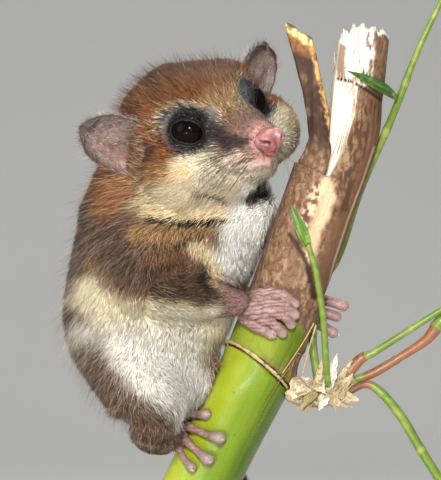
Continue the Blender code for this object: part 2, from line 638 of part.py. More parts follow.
# Legs and feet, the feet set against the culm.
leg_line = {
    "right": [(-12.5, -7.0, 81.6, 8.2), (-10.4, -9.8, 77.8, 7.5), (-8.0, -11.2, 75.2, 6.1),
              (-8.0, -10.4, 71.8, 4.8), (-8.6, -8.8, 69.0, 3.6), (-6.8, -7.2, 67.6, 2.8)],
    "left": [(-12.5, 8.6, 82.0, 8.2), (-10.4, 12.0, 78.2, 7.4), (-7.8, 13.2, 75.6, 5.9),
             (-7.8, 12.4, 72.0, 4.7), (-8.2, 11.0, 69.4, 3.5), (-6.4, 9.6, 68.0, 2.8)]}
foot_rows = {
    "right": [[(-6.4, 67.8, 2.2, 2.2), (-5.2, 68.7, 1.8, 2.3), (-4.2, 69.6, 1.4, 2.1)],
              [(-4.6, 70.9, 1.2, 1.25), (-4.6, 72.5, 1.7, 1.12), (-3.6, 74.1, 1.5, 1.1), (-1.9, 74.5, 0.9, 1.25)],
              [(-3.8, 70.8, 1.2, 1.2), (-2.7, 71.9, 1.9, 1.08), (-1.0, 72.1, 1.6, 1.02), (0.9, 72.3, 0.9, 1.15)],
              [(-3.6, 70.0, 1.2, 1.25), (-1.8, 69.9, 1.9, 1.1), (0.6, 69.0, 1.5, 1.02), (3.4, 68.2, 0.9, 1.35)],
              [(-4.0, 69.0, 1.2, 1.25), (-2.2, 67.3, 1.7, 1.12), (-0.6, 65.9, 1.4, 1.04), (1.3, 64.4, 0.9, 1.35)],
              [(-4.4, 68.0, 1.0, 1.2), (-3.8, 66.0, 1.3, 1.0), (-2.8, 64.2, 1.2, 0.95), (-1.6, 62.8, 0.9, 1.1)]],
    "left": [[(-6.0, 67.6, 2.4, 2.2), (-4.8, 68.2, 1.9, 2.3), (-3.6, 68.8, 1.4, 2.1)],
             [(-4.2, 70.2, 1.2, 1.2), (-3.8, 71.8, 1.7, 1.1), (-2.8, 73.2, 1.5, 1.05), (-1.4, 73.9, 0.9, 1.2)],
             [(-3.2, 70.0, 1.2, 1.2), (-1.6, 71.2, 1.9, 1.08), (0.2, 72.2, 1.6, 1.02), (2.0, 72.8, 0.9, 1.2)],
             [(-2.8, 69.2, 1.2, 1.2), (-0.8, 69.8, 1.9, 1.08), (1.4, 70.2, 1.5, 1.02), (3.6, 70.4, 0.9, 1.25)],
             [(-2.8, 68.2, 1.2, 1.2), (-0.6, 67.8, 1.9, 1.08), (1.6, 67.2, 1.5, 1.02), (3.8, 66.6, 0.9, 1.25)],
             [(-3.6, 67.4, 1.2, 1.2), (-2.2, 65.8, 1.7, 1.05), (-0.8, 64.6, 1.4, 1.0), (0.8, 63.6, 0.9, 1.2)]]}
for side, sign in (("right", -1), ("left", 1)):
    line = leg_line[side]
    thigh = flesh("thigh_%s" % side, limb(line[:3], 6), voxel=0.5, rounds=4)
    shank = flesh("shank_%s" % side, limb(line[2:], 6), voxel=0.4, rounds=3)
    thin_out(thigh, 210)
    thin_out(shank, 190)
    knee = Vector(line[2][:3])
    way = (Vector(line[3][:3]) - Vector(line[1][:3])).normalized()
    trim(thigh, knee - way * GAP / 2, way)
    trim(shank, knee + way * GAP / 2, -way)
    digits = [gripping(rows, sign) for rows in foot_rows[side]]
    balls = limb(digits[0], 4)
    for chain in digits[1:]:
        balls += limb(chain, 6)
        inward = Vector(axis_at(chain[-1][2])[0]) - Vector(chain[-1][:3])
        balls += claw(chain, inward.normalized())
    foot = flesh("foot_%s" % side, balls, voxel=0.26, rounds=2, level=2)
    thin_out(foot, 720)
    nodes[side] += [thigh, shank, foot]

# Tail: from the rump down behind the culm, once round it, thick at the root.
tail_line = [(-8.8, 3.0, 75.5, 4.3), (-7.4, 10.0, 71.0, 4.1), (-3.0, 14.4, 67.2, 3.8)]
turns = [(262, 61.0, 3.6), (215, 57.6, 3.45), (170, 54.2, 3.3), (125, 50.9, 3.15), (80, 47.8, 3.0),
         (35, 44.8, 2.8), (-10, 42.0, 2.6), (-55, 39.6, 2.35), (-97, 37.8, 1.9)]
for turn, z, r in turns:
    p, t = axis_at(z)
    t = Vector(t)
    one = t.cross(Vector((0, 1, 0))).normalized()
    two = t.cross(one).normalized()
    a = math.radians(turn)
    at = Vector(p) + (one * math.cos(a) + two * math.sin(a)) * (CULM_R + GAP + 0.25 + r)
    tail_line.append(tuple(at) + (r,))
tail = flesh("tail", limb(tail_line, 8), voxel=0.42, rounds=2, level=2)
thin_out(tail, 700)

# Where the limbs meet the trunk they are cut clear of it, and of each other.
for side in ("right", "left"):
    upper, fore, hand, thigh, shank, foot = nodes[side]
    for piece in (upper, fore, thigh, shank):
        clear_of(piece, torso)
    clear_of(upper, neck)
    clear_of(thigh, culm_lower)
    clear_of(fore, culm_upper)
    clear_of(shank, culm_lower)
    for piece in (hand, foot):
        clear_of(piece, culm_lower)
        clear_of(piece, culm_upper)
        clear_of(piece, culm_scar)
        clear_of(piece, torso)
    clear_of(fore, hand)
    clear_of(shank, foot)
    clear_of(fore, upper)
    clear_of(shank, thigh)
    clear_of(upper, head_node)
clear_of(nodes["left"][2], stem_long)
clear_of(tail, torso)
clear_of(tail, nodes["left"][3])
clear_of(tail, nodes["left"][4])
clear_of(tail, nodes["left"][5])
clear_of(tail, culm_lower)

# The tail in four lengths, parted by thin discs.
rows = line_through(tail_line, 8)
marks = [int(len(rows) * k) for k in (0.26, 0.50, 0.75)]
ends = [0] + marks + [len(rows) - 1]
for name, a, b in zip(("tail_root", "tail_second", "tail_third", "tail_tip"), ends, ends[1:]):
    piece = copy_of(tail, name)
    for i in (a, b):
        if i in marks:
            way = Vector(rows[i + 1][:3] - rows[i - 1][:3]).normalized()
            m = way.to_track_quat("Z", "Y").to_matrix().to_4x4()
            m.translation = Vector(rows[i][:3])
            bm = bmesh.new()
            bmesh.ops.create_cone(bm, segments=20, radius1=6.0, radius2=6.0, depth=GAP,
                                  cap_ends=True, matrix=m)
            tool = made("disc", bm)
            mod = piece.modifiers.new("part", "BOOLEAN")
            mod.operation = "DIFFERENCE"
            mod.solver = "EXACT"
            mod.object = tool
            baked(piece)
            remove(tool)
    one_piece(piece, near=Vector(rows[(a + b) // 2][:3]))
remove(tail)

# The stand: a flat base and two short rods up to the culm.
bm = bmesh.new()
bmesh.ops.create_cube(bm, size=1.0, matrix=Matrix.Translation((0, 0, 4.0)) @ Matrix.Diagonal((104, 80, 8, 1)))
stand_base = made("stand_base", bm)
corner = stand_base.modifiers.new("corner", "BEVEL")
corner.width = 1.2
corner.segments = 2
baked(stand_base)
rods = []
for name, z_axis in (("stand_rod_low", 19.6), ("stand_rod_high", 32.0)):
    p = axis_at(z_axis)[0]
    bm = bmesh.new()
    m = Matrix.Translation((p[0], p[1], (8.0 + GAP + z_axis) / 2))
    bmesh.ops.create_cone(bm, segments=20, radius1=1.6, radius2=1.6, depth=z_axis - 8.0 - GAP,
                          cap_ends=True, matrix=m)
    rod = made(name, bm)
    rods.append(rod)
for rod in rods:
    clear_of(rod, culm_lower)
remove(culm_all, body)

PAINT = {
    "fur_back": ((0.22, 0.13, 0.08), 0.9), "fur_head": ((0.35, 0.18, 0.09), 0.9),
    "skin": ((0.45, 0.25, 0.22), 0.6), "eye": ((0.01, 0.01, 0.012), 0.1),
    "nose": ((0.55, 0.16, 0.18), 0.4), "green": ((0.22, 0.33, 0.04), 0.35),
    "sheath": ((0.42, 0.24, 0.12), 0.7), "scar": ((0.5, 0.36, 0.18), 0.7),
    "leaf": ((0.12, 0.25, 0.05), 0.5), "base": ((0.35, 0.22, 0.13), 0.45),
    "rod": ((0.35, 0.35, 0.36), 0.35)}
WHICH = {
    "head": "fur_head", "neck": "fur_head", "torso": "fur_back", "nose": "nose",
    "ear_right": "skin", "ear_left": "skin", "eye_right": "eye", "eye_left": "eye",
    "hand_right": "skin", "hand_left": "skin", "foot_right": "skin", "foot_left": "skin",
    "culm_lower": "green", "culm_upper": "sheath", "culm_scar": "scar", "culm_splinter": "sheath",
    "branch_base": "sheath", "shoot_up": "leaf", "leaf_up": "leaf", "stem_long": "leaf",
    "leaf_long": "leaf", "shoot_right_upper": "leaf", "shoot_right_middle": "sheath",
    "shoot_lower_right": "leaf", "stand_base": "base", "stand_rod_low": "rod",
    "stand_rod_high": "rod"}
paints = {}
for key, (rgb, rough) in PAINT.items():
    mat = bpy.data.materials.new(key)
    mat.use_nodes = True
    shader = mat.node_tree.nodes["Principled BSDF"]
    shader.inputs["Base Color"].default_value = rgb + (1.0,)
    shader.inputs["Roughness"].default_value = rough
    paints[key] = mat

for obj in solids.objects:
    one_piece(obj)
    obj.data.transform(Matrix.Scale(0.001, 4))
    obj.data.materials.clear()
    obj.data.materials.append(paints[WHICH.get(obj.name, "fur_back")])
    obj.data.update()
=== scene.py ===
import math

import bmesh
import bpy
import numpy as np
from mathutils import Matrix, Vector
from mathutils import noise as turbulence
from mathutils.bvhtree import BVHTree


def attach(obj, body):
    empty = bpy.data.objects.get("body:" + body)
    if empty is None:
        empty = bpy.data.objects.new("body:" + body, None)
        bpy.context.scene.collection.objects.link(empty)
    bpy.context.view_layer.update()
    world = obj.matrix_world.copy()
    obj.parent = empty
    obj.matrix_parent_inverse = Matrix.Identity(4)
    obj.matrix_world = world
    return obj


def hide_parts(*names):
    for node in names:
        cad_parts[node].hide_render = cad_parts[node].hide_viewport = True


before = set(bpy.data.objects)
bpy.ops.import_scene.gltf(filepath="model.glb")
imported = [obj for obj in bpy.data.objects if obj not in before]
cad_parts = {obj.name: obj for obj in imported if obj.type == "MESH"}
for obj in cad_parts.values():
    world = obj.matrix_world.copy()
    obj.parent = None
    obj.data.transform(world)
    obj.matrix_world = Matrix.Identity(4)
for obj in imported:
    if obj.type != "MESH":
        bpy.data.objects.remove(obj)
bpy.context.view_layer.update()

# Skin: one thin elastic hide under the coat, from the nose to the tip of the tail. It is grown
# over the solids of head, neck, trunk, limbs and tail so that their gaps close, drawn in by the
# depth of the fur that stands on it, and worked finer round the eyes, lips and muzzle.
FLESH = ["head", "neck", "torso", "arm_right_upper", "arm_right_fore", "arm_left_upper",
         "arm_left_fore", "thigh_right", "shank_right", "thigh_left", "shank_left",
         "tail_root", "tail_second", "tail_third", "tail_tip"]


def way_of(v):
    """A single vector made 1 long."""
    return v / np.linalg.norm(v)


HEAD_AT = np.array((-2.3, -6.0, 128.1))
HEAD_F = way_of(np.array((0.583, -0.757, -0.295)))
HEAD_L = np.array((0.792, 0.45, 0.411))
HEAD_L = way_of(HEAD_L - HEAD_F * HEAD_L.dot(HEAD_F))
HEAD_U = np.cross(HEAD_F, HEAD_L)
EYE_R = 3.4
DOTS_PER_MM = 5.5
VIEW_X, VIEW_Z, VIEW_FAR, HALF_VIEW = 3.7, 103.6, 400, 43.64


def head_place(f, l, u):
    return HEAD_AT + HEAD_F * f + HEAD_L * l + HEAD_U * u


def eye_at(s):
    return 9.8, s * 6.3, 0.0


def eye_look(s):
    return way_of(HEAD_F * 0.66 + HEAD_L * 0.64 * s + HEAD_U * 0.38)


def in_head(p):
    """Forward, left and up of points seen from between the ears, in millimetres."""
    q = p - HEAD_AT
    return q @ HEAD_F, q @ HEAD_L, q @ HEAD_U


def ramp(x, low, high):
    """A soft rise from 0 at the low value to 1 at the high one."""
    t = np.clip((x - low) / (high - low), 0.0, 1.0)
    return t * t * (3 - 2 * t)


def fade(x, low, high):
    """A soft fall from 1 at the low value to 0 at the high one."""
    return ramp(-x, -high, -low)


def unit(v):
    return v / np.maximum(np.linalg.norm(v, axis=1), 1e-9)[:, None]


def seen(*marks):
    """Places in X and Z, in millimetres, of marks given in the dots of the picture."""
    return np.array([((x - 200) / DOTS_PER_MM, 60 + (480 - y) / DOTS_PER_MM) for x, y in marks])


def from_front(p):
    """Width and height of points as they stand before someone who looks from the front."""
    far = VIEW_FAR / (VIEW_FAR + p[:, 1])
    return np.stack([VIEW_X + (p[:, 0] - VIEW_X) * far, VIEW_Z + (p[:, 2] - VIEW_Z) * far], 1)


def way_off(p, line):
    """Distance of points to a line of straight stretches."""
    best = np.full(len(p), 1e9)
    for a, b in zip(line[:-1], line[1:]):
        ab = b - a
        t = np.clip(((p - a) @ ab) / max(ab @ ab, 1e-9), 0, 1)
        best = np.minimum(best, np.linalg.norm(p - a - t[:, None] * ab, axis=1))
    return best


def near_marks(at, near, far, *marks):
    """1 for points within `near` of the line through the marks, and 0 for those past `far`."""
    return fade(way_off(at, seen(*marks)), near, far)


def near_spot(p, spot, near, far):
    """1 for points within `near` of a place, and 0 for those past `far`."""
    return fade(np.linalg.norm(p - spot, axis=1), near, far)


def line_through(rows, per):
    """Rows of a smooth line through the given rows."""
    rows = np.asarray(rows, float)
    p = np.vstack([2 * rows[0] - rows[1], rows, 2 * rows[-1] - rows[-2]])
    out = []
    for a, b, c, d in zip(p, p[1:], p[2:], p[3:]):
        for k in range(per):
            t = k / per
            out.append(0.5 * (2 * b + (c - a) * t + (2 * a - 5 * b + 4 * c - d) * t * t
                              + (3 * b - a - 3 * c + d) * t ** 3))
    out.append(rows[-1])
    return np.array(out)


def bare_object(name, bm):
    mesh = bpy.data.meshes.new(name)
    bm.to_mesh(mesh)
    bm.free()
    obj = bpy.data.objects.new(name, mesh)
    bpy.context.scene.collection.objects.link(obj)
    return obj


def take_modifiers(obj):
    bpy.context.view_layer.update()
    deps = bpy.context.evaluated_depsgraph_get()
    mesh = bpy.data.meshes.new_from_object(obj.evaluated_get(deps))
    obj.modifiers.clear()
    old = obj.data
    obj.data = mesh
    bpy.data.meshes.remove(old)


def places(mesh):
    p = np.empty(len(mesh.vertices) * 3, np.float32)
    mesh.vertices.foreach_get("co", p)
    return p.reshape(-1, 3).astype(float)


def put_places(mesh, p):
    mesh.vertices.foreach_set("co", p.astype(np.float32).ravel())
    mesh.update()


def normals_of(mesh):
    n = np.empty(len(mesh.vertices) * 3, np.float32)
    mesh.vertices.foreach_get("normal", n)
    return n.reshape(-1, 3).astype(float)


def wrapped(obj, voxel, rounds):
    """One closed skin over all that the object holds."""
    wrap = obj.modifiers.new("wrap", "REMESH")
    wrap.mode = "VOXEL"
    wrap.voxel_size = voxel
    soft = obj.modifiers.new("soft", "SMOOTH")
    soft.factor = 0.5
    soft.iterations = rounds
    take_modifiers(obj)
    return obj


def thinned(obj, share, kept):
    """Fewer faces on a piece, with the points that `kept` marks left as close as they are."""
    plain = obj.vertex_groups.new(name="plain")
    plain.add([int(i) for i in np.nonzero(~kept)[0]], 1.0, "REPLACE")
    fewer = obj.modifiers.new("fewer", "DECIMATE")
    fewer.ratio = share
    fewer.vertex_group = "plain"
    take_modifiers(obj)
    obj.vertex_groups.clear()


def grown_from(names, name, voxel, rounds, swell=0.0):
    """One closed surface over copies of CAD nodes, in millimetres. The face doesn't swell."""
    bm = bmesh.new()
    for node in names:
        bm.from_mesh(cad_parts[node].data)
    bmesh.ops.remove_doubles(bm, verts=bm.verts, dist=1e-6)
    bmesh.ops.scale(bm, vec=(1000, 1000, 1000), verts=bm.verts)
    obj = bare_object(name, bm)
    spot = places(obj.data)
    f, l, u = in_head(spot)
    put_places(obj.data, spot + normals_of(obj.data) * (swell * (1 - ramp(f, 3.0, 7.0)))[:, None])
    return wrapped(obj, voxel, rounds)


ARM_RIGHT = np.array([(-6.0, -8.5, 106.5, 7.6), (-9.0, -11.5, 100.5, 6.8), (-10.0, -13.4, 95.8, 5.6),
                      (-5.5, -13.4, 94.2, 4.6), (0.0, -12.4, 93.4, 3.9), (4.4, -10.8, 92.7, 3.0),
                      (7.4, -9.9, 92.4, 2.3)])
ARM_LEFT = np.array([(-4.0, 8.0, 106.5, 7.4), (-6.0, 12.0, 100.5, 6.4), (-6.0, 14.0, 96.0, 5.2),
                     (-1.5, 13.0, 94.2, 4.3), (3.0, 11.0, 93.4, 3.6), (6.6, 8.6, 92.8, 2.9),
                     (9.4, 7.4, 92.4, 2.3)])
LEG_RIGHT = np.array([(-12.5, -7.0, 81.6, 8.2), (-10.4, -9.8, 77.8, 7.5), (-8.0, -11.2, 75.2, 6.1),
                      (-8.0, -10.4, 71.8, 4.8), (-8.6, -8.8, 69.0, 3.6), (-6.8, -7.2, 67.6, 2.8)])
LEG_LEFT = np.array([(-12.5, 8.6, 82.0, 8.2), (-10.4, 12.0, 78.2, 7.4), (-7.8, 13.2, 75.6, 5.9),
                     (-7.8, 12.4, 72.0, 4.7), (-8.2, 11.0, 69.4, 3.5), (-6.4, 9.6, 68.0, 2.8)])


def along_limb(p, line):
    """For each point the way down the limb there, how far it is off the limb's line in parts
    of its thickness, and how far down the limb it is, from 0 to 1."""
    best = np.full(len(p), 1e9)
    way = np.zeros((len(p), 3))
    down = np.zeros(len(p))
    for i, (a, b) in enumerate(zip(line[:-1], line[1:])):
        ab = b[:3] - a[:3]
        t = np.clip(((p - a[:3]) @ ab) / (ab @ ab), 0, 1)
        off = np.linalg.norm(p - a[:3] - t[:, None] * ab, axis=1) / (a[3] + t * (b[3] - a[3]))
        near = off < best
        best = np.where(near, off, best)
        way[near] = way_of(ab)
        down = np.where(near, (i + t) / (len(line) - 1), down)
    return way, best, down


def eye_ways(s):
    """The line of sight of an eye, the line from corner to corner and the line up its lids."""
    look = eye_look(s)
    along = HEAD_F * 0.86 - HEAD_L * 0.46 * s - HEAD_U * 0.12
    along = way_of(along - look * along.dot(look))
    return look, along, np.cross(look, along)


def lid_reach(p):
    """How far points are from the middle of the nearer eye's opening, 1 at its rim."""
    best = np.full(len(p), 1e9)
    for s in (-1, 1):
        look, along, tall = eye_ways(s)
        q = p - head_place(*eye_at(s))
        reach = np.hypot(q @ along / 3.45, q @ tall / 2.5)
        reach = np.where(q @ look > -2.5, reach, 9.0)
        best = np.minimum(best, reach)
    return best


def coat_depth(p):
    """How deep the fur stands at each point, in millimetres."""
    f, l, u = in_head(p)
    depth = np.full(len(p), 1.45)
    on_head = ramp(u, -13.0, -9.0) * ramp(p[:, 2], 112.0, 116.0)
    depth += (1.05 - depth) * on_head
    depth += (0.6 - depth) * ramp(f, 10.0, 13.5) * on_head
    depth += (0.16 - depth) * ramp(f, 15.0, 19.0) * ramp(u, -12.0, -7.0)
    depth *= 0.12 + 0.88 * ramp(lid_reach(p), 1.0, 1.9)
    for line in (ARM_RIGHT, ARM_LEFT, LEG_RIGHT, LEG_LEFT):
        way, off, down = along_limb(p, line)
        depth += (0.16 - depth) * ramp(down, 0.42, 0.86) * fade(off, 1.15, 1.5)
    depth += (0.9 - depth) * fade(p[:, 2], 62.0, 67.0)
    return depth + (0.45 - depth) * ear_hollow(p)


def ear_hollow(p):
    """How near points are to the low bare place before the root of an ear."""
    f, l, u = in_head(p)
    off = np.stack([(f - 3.0) / 1.2, np.abs(l) - 13.0, (u + 4.4) / 1.3], 1)
    return near_spot(off, 0, 1.0, 4.4)


skin = grown_from(FLESH, "skin", voxel=0.40, rounds=5, swell=0.22)
bm = bmesh.new()
bm.from_mesh(skin.data)
spot = places(skin.data)
f, l, u = in_head(spot)
front = (f > 7.5) & (spot[:, 2] > 113.0)
inside = [e for e in bm.edges if front[e.verts[0].index] and front[e.verts[1].index]]
bmesh.ops.subdivide_edges(bm, edges=inside, cuts=1, use_grid_fill=True)
bm.to_mesh(skin.data)
bm.free()
head_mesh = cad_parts["head"].data
head_tree = BVHTree.FromPolygons([Vector(v.co) * 1000 for v in head_mesh.vertices],
                                 [tuple(q.vertices) for q in head_mesh.polygons])
spot = places(skin.data)
f, l, u = in_head(spot)
front = np.nonzero((f > 8.0) & (spot[:, 2] > 114.0))[0]
for i in front:
    hit = head_tree.find_nearest(Vector(spot[i]), 0.6)
    if hit[0] is not None:
        spot[i] = spot[i] + (np.array(hit[0]) - spot[i]) * 0.8
put_places(skin.data, spot)
MOUTH = [(-7.0, 13.4, -5.9), (-5.2, 16.2, -5.2), (-3.6, 19.0, -4.5), (-1.9, 21.8, -3.7), (0.0, 24.0, -3.1),
         (1.9, 21.8, -3.7), (3.6, 19.0, -4.5), (5.2, 16.2, -5.2), (7.0, 13.4, -5.9)]
mouth = []
for l_at, f_at, u_at in MOUTH:
    start = Vector(head_place(f_at + 0.35 * (14 - abs(l_at)), l_at * 2.6, u_at))
    goal = Vector(head_place(f_at - 3.0, l_at * 0.2, u_at))
    mouth.append(np.array(head_tree.ray_cast(start, (goal - start).normalized())[0]))
mouth = line_through(np.array(mouth), 6)


def eased(mesh, p, amount, rounds):
    """Points moved towards the mean of their neighbours, by the given share for each."""
    e = np.empty(len(mesh.edges) * 2, np.int32)
    mesh.edges.foreach_get("vertices", e)
    e = e.reshape(-1, 2)
    count = np.bincount(e.ravel(), minlength=len(p))[:, None]
    for k in range(rounds):
        total = np.zeros_like(p)
        np.add.at(total, e[:, 0], p[e[:, 1]])
        np.add.at(total, e[:, 1], p[e[:, 0]])
        p = p + (total / np.maximum(count, 1) - p) * amount[:, None]
    return p


f, l, u = in_head(spot)
lips = way_off(spot, mouth)
front = ramp(f, 8.0, 9.5)
spot = eased(skin.data, spot, 0.5 * front * ramp(lid_reach(spot), 1.0, 1.4), 3)
spot = eased(skin.data, spot, 0.5 * fade(lips, 0.8, 1.5), 8)
for s in (-1, 1):
    look, along, tall = eye_ways(s)
    q = spot - head_place(*eye_at(s))
    r = np.linalg.norm(q, axis=1)
    reach = lid_reach(spot)
    near = (q @ look > 0) & (reach < 2.0)
    a, t, k = q @ along, q @ tall, q @ look
    free = np.clip(reach - 1.0, 0, 1)
    a, t = a * (1.02 - 0.02 * free), t * (0.84 + 0.16 * free)
    k = np.sqrt(np.maximum(r * r - a * a - t * t, 0.01))
    moved = np.outer(a, along) + np.outer(t, tall) + np.outer(k, look)
    spot = np.where(near[:, None], moved + head_place(*eye_at(s)), spot)
spot = eased(skin.data, spot, 0.35 * fade(lid_reach(spot), 1.1, 1.5), 2)
for s in (-1, 1):
    q = spot - head_place(*eye_at(s))
    r = np.linalg.norm(q, axis=1)
    reach = lid_reach(spot)
    held = np.clip(r, EYE_R + 0.10, EYE_R + 0.16 + 0.55 * np.clip(reach - 1.0, 0, 9) ** 1.5)
    held = np.where((reach < 2.1) & (q @ eye_look(s) > 0), held, np.maximum(r, EYE_R + 0.10))
    spot = np.where((r < 7.5)[:, None], unit(q) * held[:, None] + head_place(*eye_at(s)), spot)
spot = eased(skin.data, spot, 0.4 * ramp(lid_reach(spot), 1.3, 1.6) * fade(lid_reach(spot), 2.2, 2.6), 3)
put_places(skin.data, spot)
out = normals_of(skin.data)
reach = lid_reach(spot)
ends = ramp(f, 13.2, 15.5)
shape = -0.34 * np.exp(-(lips / 0.20) ** 2) * ends
shape += 0.15 * np.exp(-((lips - 0.62) / 0.30) ** 2) * ends
shape += 0.06 * np.exp(-((reach - 1.02) / 0.07) ** 2)
bare_nose = ramp(f, 16.5, 19.5) * ramp(u, -6.0, -3.5)
shape -= 0.05 * bare_nose * (0.5 + 0.5 * np.sin(f * 5.2 + 1.1 * np.sin(u * 1.7))) ** 3
depth = coat_depth(spot) + 0.22 * (1 - ramp(f, 3.0, 7.0))
in_front = from_front(spot)
shape -= 0.72 * near_marks(in_front, 0.4, 4.6, (184, 58), (190, 57), (204, 57), (219, 56))
spot = spot + out * (shape - depth - 0.3 * ear_hollow(spot))[:, None]
crown = near_marks(in_front, 3.5, 5.0, (178, 62), (200, 58), (226, 58))
spot = eased(skin.data, spot, 0.5 * crown, 14)
put_places(skin.data, spot)
thinned(skin, share=0.44, kept=(f > 9.0) & (spot[:, 2] > 113.0))
skin_out = normals_of(skin.data)

# Coat: short dense fur, red-brown above and cream to white below, dark round the eyes.
# It is solid mesh: thin three-sided tufts that follow the lie of the hair, each coloured by
# the place of its root, darker at the root and paler or darker at the tip.


def light(r, g, b):
    """A colour on the screen as the amounts of light that the shader takes."""
    c = np.array((r, g, b), float) / 255
    return np.where(c < 0.04045, c / 12.92, ((c + 0.055) / 1.055) ** 2.4)


def mixed(base, colour, amount):
    return base + (light(*colour) - base) * amount[:, None]


def painted(base, *washes):
    """Thin colours laid one over another, each with its own strength at every point."""
    for colour, amount in washes:
        base = mixed(base, colour, amount)
    return base


def mottled(p, size, seed):
    """Soft patches between -1 and 1."""
    draw = np.random.default_rng(seed)
    total = np.zeros(len(p))
    for k in range(5):
        wave = draw.normal(size=3) / size * (1 + 0.5 * k)
        total += np.sin(p @ wave + draw.uniform(0, 6.3)) / (1 + 0.4 * k)
    return total / 2.4


